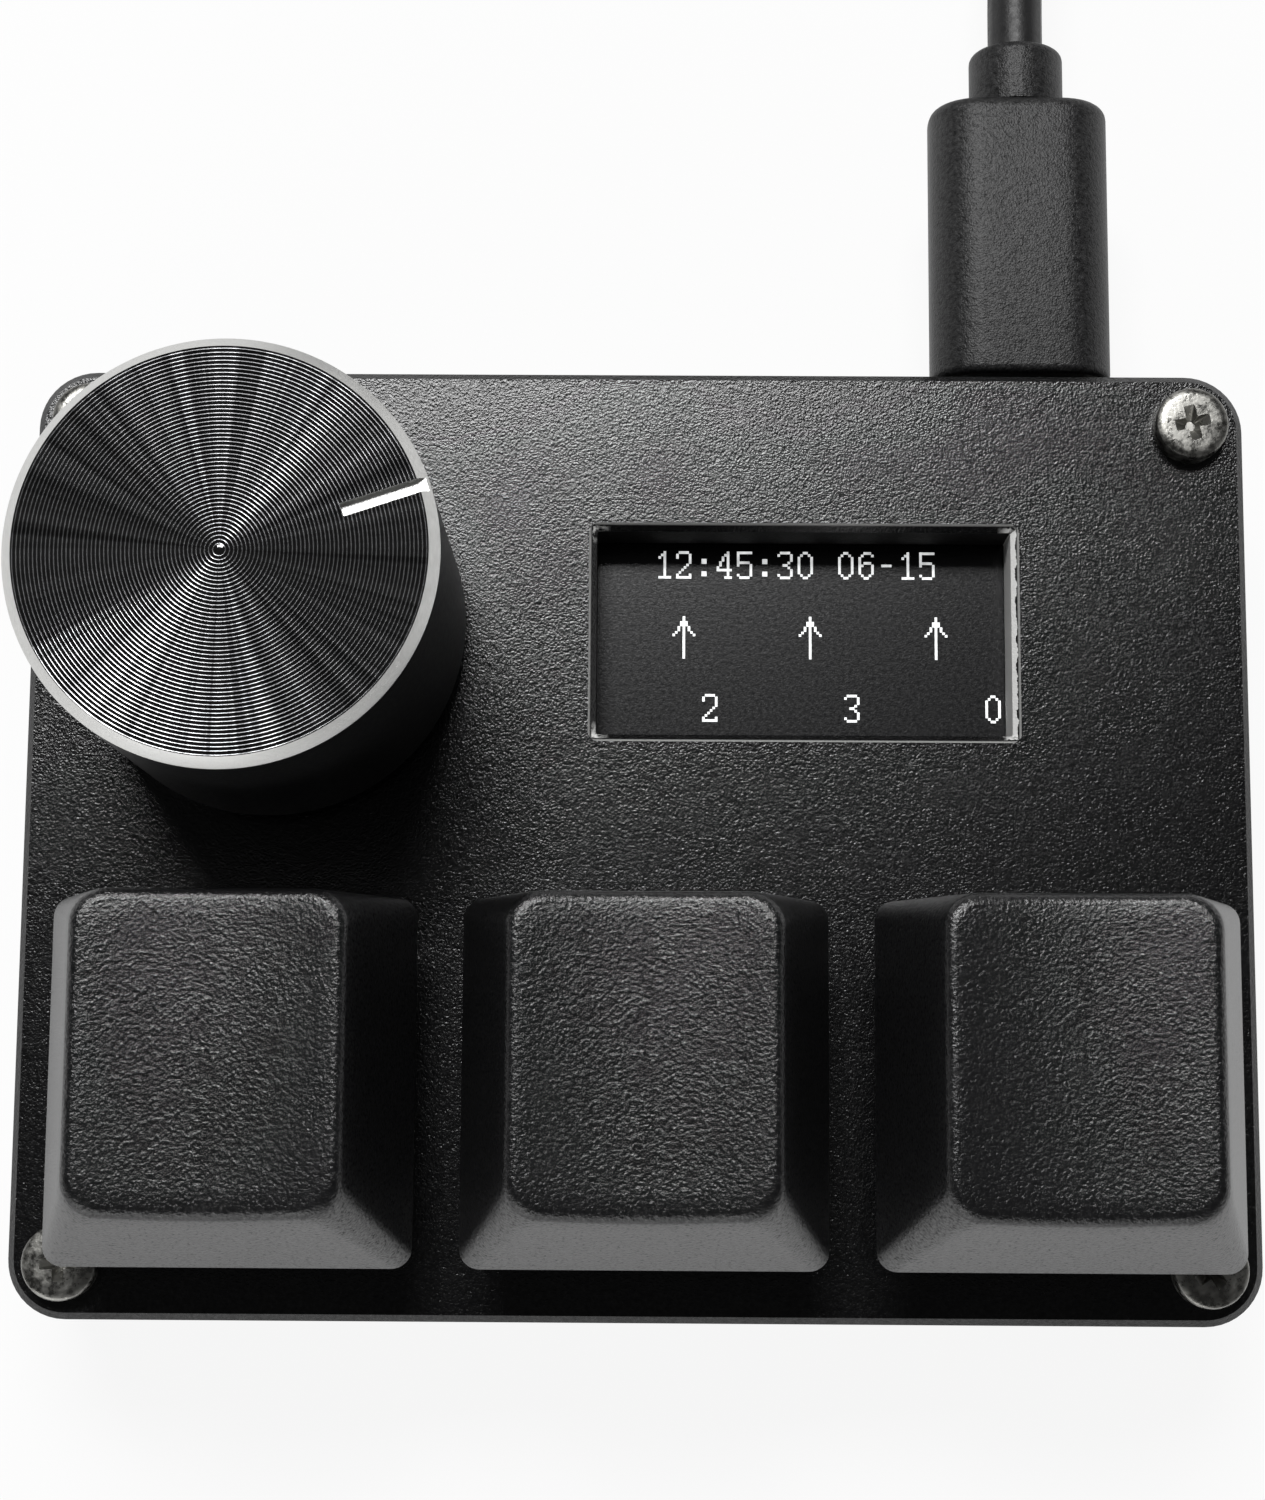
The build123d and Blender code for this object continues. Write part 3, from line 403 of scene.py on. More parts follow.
class KEYPAD_OT_add_stage(Operator):
    """Adds the floor, the soft lights and the camera at the photograph's angle"""

    bl_idname = "keypad.add_stage"
    bl_label = "Add stage"

    def execute(self, context):
        scene = context.scene
        scene.view_settings.view_transform = "Standard"
        self.add_camera(scene)
        self.add_floor()
        self.add_light("strip_softbox", azimuth=98, lean=28, distance=0.56, size=(0.25, 0.14), power=2.8)
        self.add_light("front_fill", azimuth=250, lean=68, distance=0.8, size=(0.7, 0.35), power=1.6)
        self.add_world(scene)
        return {"FINISHED"}

    def add_camera(self, scene):
        """The camera that was fitted to the plate's corners, the screws, the window and the caps."""
        lens, near, place = 66.75, 10.0, Vector((0.802, -16.159, 155.29))
        tilt = Vector((0.144, 0.007, 0.006))  # The turn's axis times its angle in radians.
        camera = add_object("camera", bpy.data.cameras.new("camera"))
        camera.data.lens = lens
        camera.data.clip_start = near * mm
        camera.location = place * mm
        camera.rotation_mode = "QUATERNION"
        camera.rotation_quaternion = Quaternion(tilt.normalized(), tilt.length)
        scene.camera = camera

    def add_floor(self):
        """A wide flat floor of seamless paper."""
        half_side = 2.0
        mesh = bmesh.new()
        bmesh.ops.create_grid(mesh, x_segments=1, y_segments=1, size=half_side)
        floor = make_piece("floor", mesh, [self.white_floor()])

    def add_light(self, name, azimuth, lean, distance, size, power):
        """A rectangular softbox that leans from straight above the knob towards an azimuth, in degrees."""
        turn, tip = math.radians(azimuth), math.radians(lean)
        away = Vector((math.cos(turn) * math.sin(tip), math.sin(turn) * math.sin(tip), math.cos(tip)))
        data = bpy.data.lights.new(name, "AREA")
        data.shape, data.energy = "RECTANGLE", power
        data.size, data.size_y = size
        light = add_object(name, data)
        light.location = measure("knob_shell")[2] + away * distance
        light.rotation_euler = away.to_track_quat("Z", "Y").to_euler()

    def white_floor(self):
        """Seamless white paper: seen as white, and it keeps a faint shadow."""
        glow_share = 0.9
        paper = {"Base_Color": (*linear("#f2f2f2"), 1.0), "Roughness": 0.9, "IOR": 1.5}
        material, tree, shader, _ = start_material("white_paper_sweep", **paper)
        paths = add_node(tree, "LightPath").outputs
        seen = paths["Is Camera Ray"]
        for kind in ("Is Glossy Ray", "Is Transmission Ray"):
            seen = add_node(tree, "Math", {"operation": "MAXIMUM"}, {0: seen, 1: paths[kind]})
        share = add_node(tree, "Math", {"operation": "MULTIPLY", 1: glow_share}, {0: seen})
        glow = add_node(tree, "Emission", {"Strength": 1.0})
        mix = add_node(tree, "MixShader", {}, {"Fac": share, 1: shader, 2: glow})
        wire(tree, tree.nodes["Material Output"], {"Surface": mix})
        return material

    def add_world(self, scene):
        """A pale room with a dark ceiling: bright at the horizon and dim overhead."""
        horizon, ceiling, fade = 0.9, 0.05, (0.18, 0.38)
        world = bpy.data.worlds.new("studio")
        world.use_nodes = True
        scene.world = world
        tree = world.node_tree
        ray = add_node(tree, "TexCoord").outputs["Generated"]
        rise = add_node(tree, "SeparateXYZ", {}, {"Vector": ray}).outputs["Z"]
        background = tree.nodes["Background"]
        background.inputs["Color"].default_value = (1.0, 1.0, 1.0, 1.0)
        vary(tree, background, "Strength", rise, horizon, ceiling, fade)


class KEYPAD_OT_add_lead(Operator):
    """Adds the lead with its coil, the tie and both plugs"""

    bl_idname = "keypad.add_lead"
    bl_label = "Add lead"

    def execute(self, context):
        sizes = context.scene.keypad_sizes
        tint = context.scene.keypad_colours.lead
        # Extruded vinyl: a satin sheath with a faint mottle from the die.
        vinyl = "vinyl_sheath_extruded"
        sheath = grained(vinyl, tint, 0.48, grain=0.5, depth=0.012, tone=0.15, ior=1.53, fine=0.15)
        # Moulded elastomer: a fine spark-eroded grain that scatters small highlights.
        rubbery = "elastomer_moulded_spark_grain"
        elastomer = grained(rubbery, tint, 0.47, grain=0.22, depth=0.03, tone=0.5, fine=0.1, gloss=0.5)
        # Pressed plated sheet: a cool bright grey with faint drawing lines.
        steel = cut_metal("plated_steel_pressed", "#b9b9b6", 0.24, 0.05)
        # Liquid-crystal polymer: dull black with a faint flow mottle.
        tongue = grained("polymer_moulded_dull", linear("#202022"), 0.55, grain=0.4, depth=0.01)

        cord = self.add_cord(sizes, sheath)
        pieces = []
        for name, node, direction, corner, rounds, grips in (
            ("plug_body", "usb_plug_overmold", "Y", 2.7, (0.45, 0.7), 0),
            ("plug_collar", "usb_plug_collar", "Y", 2.54, (0.05, 0.5), 0),
            ("far_plug_body", "far_plug_overmold", "-X", 2.5, (1.5, 0.5), 4),
            ("far_plug_neck", "far_plug_collar", "-X", 2.54, (0.5, 0.05), 0),
        ):
            pieces.append(self.add_bar(name, node, direction, corner, rounds, elastomer, grips))
        pieces += [self.add_far_shell(steel), self.add_contacts(), self.add_tie()]
        finish_nodes(tongue, "usb_socket_tongue", "far_plug_tongue")
        finish_nodes(steel, "usb_socket_shell", "usb_plug_shell")
        return {"FINISHED"}

    def add_cord(self, sizes, material):
        """One spline: out of the collar and down to the desk, round the coil and back out to the far plug."""
        lead_points = [(20.5, 43.7, 9.18), (20.5, 49.98, 9.18), (21.37, 57.38, 6.43), (24.59, 64.79, 3.3)]
        lead_points += [(29.55, 70.98, 2.3), (32.9, 77.39, 2.3), (32.9, 84.0, 2.3)]
        tail_points = [(32.9, 90.0, 5.75), (32.9, 95.99, 5.75), (32.6, 102.98, 3.9), (31.61, 109.98, 2.9)]
        tail_points += [(27.21, 117.01, 2.9), (20.0, 121.3, 4.0), (13.0, 121.3, 4.0)]
        # The coil winds inwards in its lower layer, climbs half a turn and winds outwards in its upper one.
        centre_x, centre_y, lower = 8, 87, 2.3
        inner_radius, spacing = 11.1, 3.45
        turns, climb_turns, per_turn = 8, 0.5, 16
        middle = turns / 2
        reach = 1 / math.cos(math.pi / per_turn)
        coil_points = []
        for step in range(1, turns * per_turn):
            turn = step / per_turn
            radius = (inner_radius + spacing * abs(turn - middle)) * reach
            climb = min(max((turn - middle) / climb_turns + 0.5, 0), 1)
            angle = 2 * math.pi * turn
            x, y = centre_x + radius * math.cos(angle), centre_y + radius * math.sin(angle)
            coil_points.append((x, y, lower + spacing * climb))
        points = [*lead_points, *coil_points, *tail_points]
        data = bpy.data.curves.new("lead", "CURVE")
        data.dimensions, data.use_fill_caps = "3D", True
        data.bevel_depth, data.bevel_resolution, data.resolution_u = sizes.cord_diameter / 2, 4, 5
        spline = data.splines.new("NURBS")
        spline.points.add(len(points) - 1)
        for knot, point in zip(spline.points, points):
            knot.co = (*(part * mm for part in point), 1.0)
        spline.order_u, spline.use_endpoint_u = 3, True
        data.materials.append(material)
        cord = add_object("lead", data)
        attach(cord, "lead")
        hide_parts("cable_lead", "cable_coil", "cable_tail")
        return cord

    def add_bar(self, name, node, direction, corner, rounds, material, grips):
        """A moulded bar along Y or against X: round corners and ends, in millimetres, and grip grooves."""
        first_grip, grip_span = 0.3, 0.45
        groove = ((-0.7, 0), (-0.4, 0.28), (0.4, 0.28), (0.7, 0))
        least_corner, corner_gap = 0.05 * mm, 1e-6
        low, high, middle, size = measure(node)
        across, run = (size.x, size.y) if direction == "Y" else (size.y, size.x)
        start_round, end_round = (part * mm for part in rounds)
        round_end = [(1 - math.cos(turn), 1 - math.sin(turn)) for turn in quarter(steps=6)]
        stations = [(start_round * rise, start_round * fall) for rise, fall in round_end]
        for grip in range(grips):
            centre = run * (first_grip + grip_span * grip / (grips - 1))
            stations += [(centre + shift * mm, inset * mm) for shift, inset in groove]
        stations += [(run - end_round * fall, end_round * rise) for rise, fall in round_end]
        rings = []
        for along, inset in stations:
            width, depth = across - 2 * inset, size.z - 2 * inset
            bend = min(max(corner * mm - inset, least_corner), size.z / 2 - inset - corner_gap)
            ring = []
            for point in rounded_outline(width, depth, bend, corner_steps=10, side_steps=4):
                if direction == "Y":
                    ring.append(Vector((middle.x + point.x, low.y + along, middle.z + point.y)))
                else:
                    ring.append(Vector((high.x - along, middle.y + point.x, middle.z + point.y)))
            rings.append(ring)
        mesh = bmesh.new()
        skin(mesh, rings, start=0, end=0)
        return make_piece(name, mesh, [material], "lead", [node], smooth_below=40)

    def add_far_shell(self, material):
        """The far plug's folded sheet shell with its two latch windows above and below."""
        wall, corner, lip_run, lip_inset = 0.3 * mm, 0.6 * mm, 0.3 * mm, 0.15 * mm
        latch_at, latch_aside, latch_size = 6.2 * mm, 2.9 * mm, Vector((2.0, 2.4, 8.0)) * mm
        low, high, middle, size = measure("far_plug_shell")
        mesh = bmesh.new()
        rings = []
        stations = ((0, 0), (size.x - lip_run, 0), (size.x, lip_inset), (size.x, wall), (0, wall))
        for along, inset in stations:
            width, depth = size.y - 2 * inset, size.z - 2 * inset
            outline = rounded_outline(width, depth, corner - inset, corner_steps=6, side_steps=2)
            centre = Vector((high.x - along, middle.y, middle.z))
            rings.append([centre + Vector((0, point.x, point.y)) for point in outline])
        skin(mesh, rings, joined=True)
        shell = make_piece("far_plug_sleeve", mesh, [material])
        cutters = []
        for side in (-1, 1):
            cutter = bmesh.new()
            place = Matrix.Translation((low.x + latch_at, middle.y + side * latch_aside, middle.z))
            bmesh.ops.create_cube(cutter, size=1.0, matrix=place @ Matrix.Diagonal((*latch_size, 1)))
            cutters.append(make_piece("window_cutter", cutter, [material]))
        carve(shell, cutters, smooth_below=30)
        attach(shell, "lead")
        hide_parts("far_plug_shell")
        return shell

    def add_contacts(self):
        """The four gold-plated contact strips on the far plug's tongue."""
        # Gold plate: warm and bright, with faint rolling lines.
        gold = cut_metal("gold_plated_contact", "#d6ab52", 0.2, 0.08)
        run, wide, corner, thick = 6.5 * mm, 1.1 * mm, 0.3 * mm, 0.05 * mm
        first_share, next_share, tip_gap = 0.17, 0.22, 1.0
        low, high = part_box("far_plug_tongue")
        mesh = bmesh.new()
        for number, setback in enumerate((0.3, 1.4, 1.4, 0.3)):
            x = low.x + (tip_gap + setback) * mm + run / 2
            y = low.y + (high.y - low.y) * (first_share + next_share * number)
            outline = rounded_outline(run, wide, corner, corner_steps=3, side_steps=1)
            rings = [[point + Vector((x, y, high.z + lift)) for point in outline] for lift in (0.0, thick)]
            skin(mesh, rings, start=0, end=0)
        return make_piece("far_plug_contacts", mesh, [gold], "lead", smooth_below=30)

    def add_tie(self):
        """A woven hook-and-loop strap round the coil, with its end lapped over the top."""
        _, high, middle, size = measure("coil_tie")
        thick, bend = 0.6 * mm, 1.1 * mm
        # The strap's section, as shares of its thickness and width, with its edges broken.
        half, broken = 0.5, 0.44
        section = [(-half, -broken), (-broken, -half), (broken, -half), (half, -broken)]
        section += [(-level, -side) for level, side in section]
        mesh = bmesh.new()
        loop = rounded_outline(size.x - thick, size.z - thick, bend)
        rings = []
        for place, point in enumerate(loop):
            heading = (loop[(place + 1) % len(loop)] - loop[place - 1]).normalized()
            outward = Vector((heading.y, -heading.x, 0))
            ring = []
            for level, side in section:
                at = point + outward * level * thick
                ring.append(Vector((middle.x + at.x, middle.y + side * size.y, middle.z + at.y)))
            rings.append(ring)
        skin(mesh, rings, joined=True)
        # The lapped end lies on the loop, narrows at its tip and lifts a little.
        lap_share, lap_width, lap_thick, lap_steps = 0.62, 0.96, 0.5 * mm, 8
        lap_gap, tip_lift, tip_start, tip_narrow = 0.28 * mm, 0.12 * mm, 0.85, 0.175
        lap = []
        for step in range(lap_steps + 1):
            share = step / lap_steps
            x = middle.x + size.x * lap_share * (share - 0.5)
            lift = high.z + lap_gap + tip_lift * share**4
            wide = size.y * lap_width * (1 - tip_narrow * max(0.0, share - tip_start) / (1 - tip_start))
            centre = Vector((x, middle.y, lift))
            lap.append([centre + Vector((0, side * wide, level * lap_thick)) for level, side in section])
        skin(mesh, lap, start=0, end=0)
        return make_piece("coil_strap", mesh, [woven_nylon()], "lead", ["coil_tie"], smooth_below=50)


class KEYPAD_OT_finish_case(Operator):
    """Finishes the plate and case, and adds the corner screws and rubber feet"""

    bl_idname = "keypad.finish_case"
    bl_label = "Finish case"

    def execute(self, context):
        colours = context.scene.keypad_colours
        finish_nodes(powder_coated_plate(colours.plate), "top_plate")
        # Moulded plastic with a spark-eroded grain: dull, with a fine even speckle.
        plastic = grained("abs_moulded_spark_grain", colours.case, 0.55, grain=0.25, depth=0.02, fine=0.1)
        finish_nodes(plastic, "bottom_case")
        self.add_screws()
        self.add_feet()
        return {"FINISHED"}

    def add_screws(self):
        """Four plated pan-head screws with a worn cross recess."""
        # Steel pressed by the driver: a greyer, duller cross.
        recess_steel = cut_metal("steel_driven_recess", "#a3a29e", 0.38, 0.16)
        # Radius and height in millimetres, from the middle of the head down to the tip.
        head, sides = 1.9, 64
        profile = ((0.5, 1.3), (1.45, 1.3), (1.68, 1.27), (1.83, 1.18), (head, 1.02), (head, 0.06))
        profile += ((1.84, 0.0), (1.0, 0.0), (1.0, -5.6), (0.7, -6.0))
        # Height, length and width of one bar of the cross, in millimetres.
        recess = ((0.4, 0.5, 0.3), (0.95, 1.35, 0.48), (1.4, 2.0, 0.62))
        recess_corner = 0.1 * mm
        # How each head came to rest, in degrees.
        head_turns = (2, 34, 60, 12)
        mesh = bmesh.new()
        skin(mesh, [circle(radius * mm, height * mm, sides) for radius, height in profile], start=0, end=0)
        master = make_piece("screw_master", mesh, [scuffed_nickel()])
        cutters = []
        for turn in (0, 90):
            cutter = bmesh.new()
            rings = []
            for height, long_side, short_side in recess:
                across, deep = long_side * mm, short_side * mm
                outline = rounded_outline(across, deep, recess_corner, corner_steps=3, side_steps=1)
                rings.append([Vector((point.x, point.y, height * mm)) for point in outline])
            skin(cutter, rings, start=0, end=0)
            bmesh.ops.rotate(cutter, verts=cutter.verts, matrix=Matrix.Rotation(math.radians(turn), 3, "Z"))
            cutters.append(make_piece("recess_cutter", cutter, [recess_steel]))
        carve(master, cutters, smooth_below=32)

        low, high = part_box("plate_screws")
        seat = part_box("top_plate")[1].z
        inset = head * mm
        places = [(x, y) for y in (low.y + inset, high.y - inset) for x in (low.x + inset, high.x - inset)]
        for number, ((x, y), turn) in enumerate(zip(places, head_turns), 1):
            screw = add_object("corner_screw_%d" % number, master.data)
            screw.location = (x, y, seat)
            screw.rotation_euler.z = math.radians(turn)
            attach(screw, "root")
            if number == 1:
                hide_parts("plate_screws")
        bpy.data.objects.remove(master)

    def add_feet(self):
        """Four round rubber feet with a soft lower edge."""
        # Rubber: very dull, with dust-fine pores.
        rubber = grained("rubber_moulded", linear("#232323"), 0.85, grain=0.3, depth=0.03, fine=0.12)
        radius, sides = 4 * mm, 48
        profile = ((0.9, 0.0), (0.96, 0.08), (0.99, 0.22), (1.0, 0.4), (1.0, 1.5))
        low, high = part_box("rubber_feet")
        mesh = bmesh.new()
        for x in (low.x + radius, high.x - radius):
            for y in (low.y + radius, high.y - radius):
                rings = []
                for share, height in profile:
                    ring = circle(radius * share, height * mm, sides)
                    rings.append([point + Vector((x, y, 0)) for point in ring])
                skin(mesh, rings, start=0, end=0)
        make_piece("soft_feet", mesh, [rubber], "root", ["rubber_feet"])


class KEYPAD_OT_add_keys(Operator):
    """Adds the dished key caps and finishes the switches under them"""

    bl_idname = "keypad.add_keys"
    bl_label = "Add keys"

    def execute(self, context):
        sizes = context.scene.keypad_sizes
        tint = context.scene.keypad_colours.cap
        # Moulded polyester: the side is fine satin, the top a coarse eroded grain with bright specks.
        side = grained("pbt_moulded_satin", tint, 0.36, grain=0.16, depth=0.03, tone=0.5, ior=1.57, gloss=0.95)
        top = grained("pbt_moulded_coarse_grain", tint, 0.24, grain=0.19, depth=0.056, ior=1.57, gloss=0.4)
        # Nylon housing: dull black with a soft flow mottle.
        housing = grained("nylon_moulded", linear("#1b1b1d"), 0.48, grain=0.5, depth=0.01, fine=0.15)
        # Acetal: waxy off-white.
        acetal = grained("acetal_moulded", linear("#d8d7d0"), 0.38, grain=0.6, depth=0.006, tone=0.05)
        # Nickel on a magnet: smooth and cool, with a soft mirror.
        nickel = cut_metal("magnet_nickel_plated", "#c2c2c4", 0.22, 0.1)
        for name in key_sides:
            self.add_cap("cap_" + name, "keycap_" + name, "key_" + name, side, top, sizes)
            finish_nodes(housing, "switch_base_" + name, "switch_top_" + name)
            finish_nodes(acetal, "stem_" + name)
            finish_nodes(nickel, "magnet_" + name)
        self.add_springs()
        return {"FINISHED"}

    def add_cap(self, name, node, body, side, top, sizes):
        """A tapered hollow cap: dished across, its front leaning further than its back."""
        top_width, top_depth, height, setback = 12.7 * mm, 14.9 * mm, 9.0 * mm, 1.2 * mm
        wall, roof, dish, edge = 1.3 * mm, 1.7 * mm, sizes.cap_dish, sizes.cap_round
        foot_corner, top_corner_more, least_corner, corner_loss = 1.0 * mm, 0.7 * mm, 0.3 * mm, 0.6
        lip_inset, lip_rise, lip_share = 0.12 * mm, 0.02 * mm, 0.012
        side_steps, edge_steps, top_scales = 6, 5, (0.88, 0.74, 0.58, 0.4, 0.2, 0.06)
        # Radius and height of the post that takes the stem, in millimetres, outside and then inside.
        post, post_sides = ((2.75, 7.6), (2.75, 0.7), (2.65, 0.6), (2.12, 0.6), (2.12, 4.4)), 40
        low, _, middle, size = measure(node)
        base = Vector((middle.x, middle.y, low.z))
        width = size.x

        def ring(share, inset=0.0, lift=0.0, scale=1.0):
            """A ring at a share of the height, which dips in the middle and leans back with the dish."""
            across = width + (top_width - width) * share - 2 * inset
            deep = width + (top_depth - width) * share - 2 * inset
            corner = max(foot_corner + top_corner_more * share - inset * corner_loss, least_corner)
            points = []
            for point in rounded_outline(across, deep, corner, side_steps=10):
                inner = point * scale
                bow = 1 - (inner.x / (across / 2 + inset)) ** 2
                level = share * (1 - dish * bow / height)
                stretch = 1 + (top_depth - width) * (level - share) / deep
                points.append(Vector((inner.x, inner.y * stretch + setback * level, height * level + lift)))
            return points

        hollow = ring((height - roof) / height, wall)
        for point in hollow:
            point.z = height - roof
        rings = [hollow, ring(0.0, wall), ring(0.0, lip_inset), ring(lip_share, 0.0, lip_rise)]
        last = 1 - edge / height
        for step in range(1, side_steps + 1):
            rings.append(ring(lip_share + (last - lip_share) * step / side_steps))
        side_bands = len(rings)
        for turn in quarter(edge_steps)[1:]:
            rings.append(ring(last + (1 - last) * math.sin(turn), edge * (1 - math.cos(turn))))
        rings += [ring(1.0, edge, 0.0, scale) for scale in top_scales]
        bands = [0 if step < side_bands else 1 for step in range(len(rings) - 1)]
        mesh = bmesh.new()
        skin(mesh, rings, bands, start=0, end=1)
        skin(mesh, [circle(radius * mm, level * mm, post_sides) for radius, level in post], start=0, end=0)
        return make_piece(name, mesh, [side, top], body, [node], smooth_below=38, location=base)

    def add_springs(self):
        """The wound springs inside the switches, as long as the CAD springs."""
        # Spring wire: bright drawn steel.
        wire_steel = cut_metal("spring_steel_drawn", "#b4b4b2", 0.28, 0.1)
        radius, thick, travel = 2.05 * mm, 0.21 * mm, 4.0 * mm
        turns, per_turn, wire_sides = 9, 20, 6
        # The end turns lie nearly flat: a share of the wire at each end makes little of the rise.
        end_share, slow_rise = 0.11, 0.06
        up = Vector((0, 0, 1))
        section = circle(thick, 0.0, wire_sides)
        for name in key_sides:
            node = "spring_" + name
            low, _, middle, size = measure(node)
            span = size.z - 2 * thick
            mesh = bmesh.new()
            rings = []
            for step in range(turns * per_turn + 1):
                share = step / (turns * per_turn)
                angle = 2 * math.pi * step / per_turn
                out = Vector((math.cos(angle), math.sin(angle), 0))
                rise = min(max((share - end_share) / (1 - 2 * end_share), 0), 1)
                climb = span * (slow_rise * share + (1 - slow_rise) * rise)
                centre = Vector((middle.x, middle.y, low.z + thick + climb)) + out * radius
                rings.append([centre + out * point.x + up * point.y for point in section])
            skin(mesh, rings, start=0, end=0)
            spring = make_piece("coil_" + node, mesh, [wire_steel], "root", [node], smooth_below=70)
            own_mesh(spring)


class KEYPAD_OT_add_knob(Operator):
    """Adds the face-turned knob with its bright rim and pointer slot"""

    bl_idname = "keypad.add_knob"
    bl_label = "Add knob"

    def execute(self, context):
        self.add_turned_knob(context.scene.keypad_sizes, context.scene.keypad_colours.knob)
        # Encoder plastic: dull black with a soft flow mottle.
        plastic = grained("nylon_moulded_encoder", linear("#1a1a1b"), 0.5, grain=0.4, depth=0.01)
        finish_nodes(plastic, "encoder_body", "encoder_rotor", "encoder_plunger")
        # Moulded insert: plain off-white, slightly waxy.
        insert = grained("abs_moulded_insert", linear("#cfcfca"), 0.45, grain=0.5, depth=0.008, tone=0.06)
        finish_nodes(insert, "knob_insert")
        # Bent plated sheet: grey, with faint rolling lines.
        finish_nodes(cut_metal("plated_steel_bent", "#b0b0ac", 0.3, 0.06), "encoder_bracket", "encoder_shaft")
        # Turned brass: warm, with fine tool lines.
        finish_nodes(cut_metal("brass_turned", "#b79a5c", 0.3, 0.08), "encoder_bush")
        return {"FINISHED"}

    def add_turned_knob(self, sizes, tint):
        """A turned knob: a grooved face, a bright chamfer, a plain side and a slot cut as a pointer."""
        # Burnished groove sides flash in two fans; the duller floors keep fine grey rings in the dark.
        face = turned_knob_top("anodised_aluminium_face_turned", linear("#6c6c6d"), 0.09, 0.05)
        floor = turned_knob_top("anodised_aluminium_groove_floor", linear("#4a4a4b"), 0.23, 0.2)
        # The chamfer and the slot are cut through the dyed skin to bare aluminium.
        bright = cut_metal("aluminium_diamond_cut", "#d6d6d4", 0.42, 0.06)
        # Dyed anodising on a fine-turned side: near black with a soft line of light.
        turned = "anodised_aluminium_turned_side"
        side = grained(turned, tint, 0.34, grain=0.3, depth=0.004, tone=0.2, ior=1.6, fine=0.08)
        on_face, on_bright, on_side, on_floor = range(4)

        rim, foot, bore_gap, least_start, eye_share = 0.5 * mm, 0.3 * mm, 0.02 * mm, 0.1 * mm, 0.3
        chamfer_in, chamfer_up, chamfer_down = 0.03 * mm, 0.01 * mm, 0.04 * mm
        slot_start, slot_run, slot_wide, slot_corner = 5.8 * mm, 6.0 * mm, 0.65 * mm, 0.08 * mm
        slot_floor, slot_top, slot_turn = -0.4 * mm, 0.6 * mm, 18.5
        low, _, middle, size = measure("knob_shell")
        _, hub_high, _, hub_size = measure("knob_insert")
        radius, height, bore = size.x / 2, size.z, hub_size.x / 2 + bore_gap
        land, pitch, depth = radius - rim, sizes.groove_pitch, sizes.groove_depth
        grooves = int((land - least_start) / pitch)
        start = land - grooves * pitch
        profile, bands = [(start * eye_share, height)], []
        for groove in range(grooves):
            inner = start + groove * pitch
            profile.append((inner, height))
            profile += [(inner + pitch * third / 3, height - depth) for third in (1, 2)]
            bands += [on_face, on_face, on_floor]
        for radius_at, level, index in (
            (land, height, on_face),
            (radius - chamfer_in, height - rim + chamfer_up, on_bright),
            (radius, height - rim - chamfer_down, on_bright),
            (radius, foot, on_side),
            (radius - foot, 0.0, on_side),
            (bore, 0.0, on_side),
            (bore, hub_high.z - low.z, on_side),
        ):
            profile.append((radius_at, level))
            bands.append(index)
        mesh = bmesh.new()
        rings = [circle(at, level, sizes.knob_sides) for at, level in profile]
        skin(mesh, rings, bands, start=on_face, end=on_side)
        knob = make_piece("turned_knob", mesh, [face, bright, side, floor])

        cutter = bmesh.new()
        outline = rounded_outline(slot_run, slot_wide, slot_corner, corner_steps=3, side_steps=1)
        rings = []
        for level in (slot_floor, slot_top):
            shift = Vector((slot_start + slot_run / 2, 0, height + level))
            rings.append([point + shift for point in outline])
        skin(cutter, rings, start=0, end=0)
        bmesh.ops.rotate(cutter, verts=cutter.verts, matrix=Matrix.Rotation(math.radians(slot_turn), 3, "Z"))
        carve(knob, [make_piece("slot_cutter", cutter, [bright])], smooth_below=30)
        knob.location = (middle.x, middle.y, low.z)
        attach(knob, "knob")
        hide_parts("knob_shell")


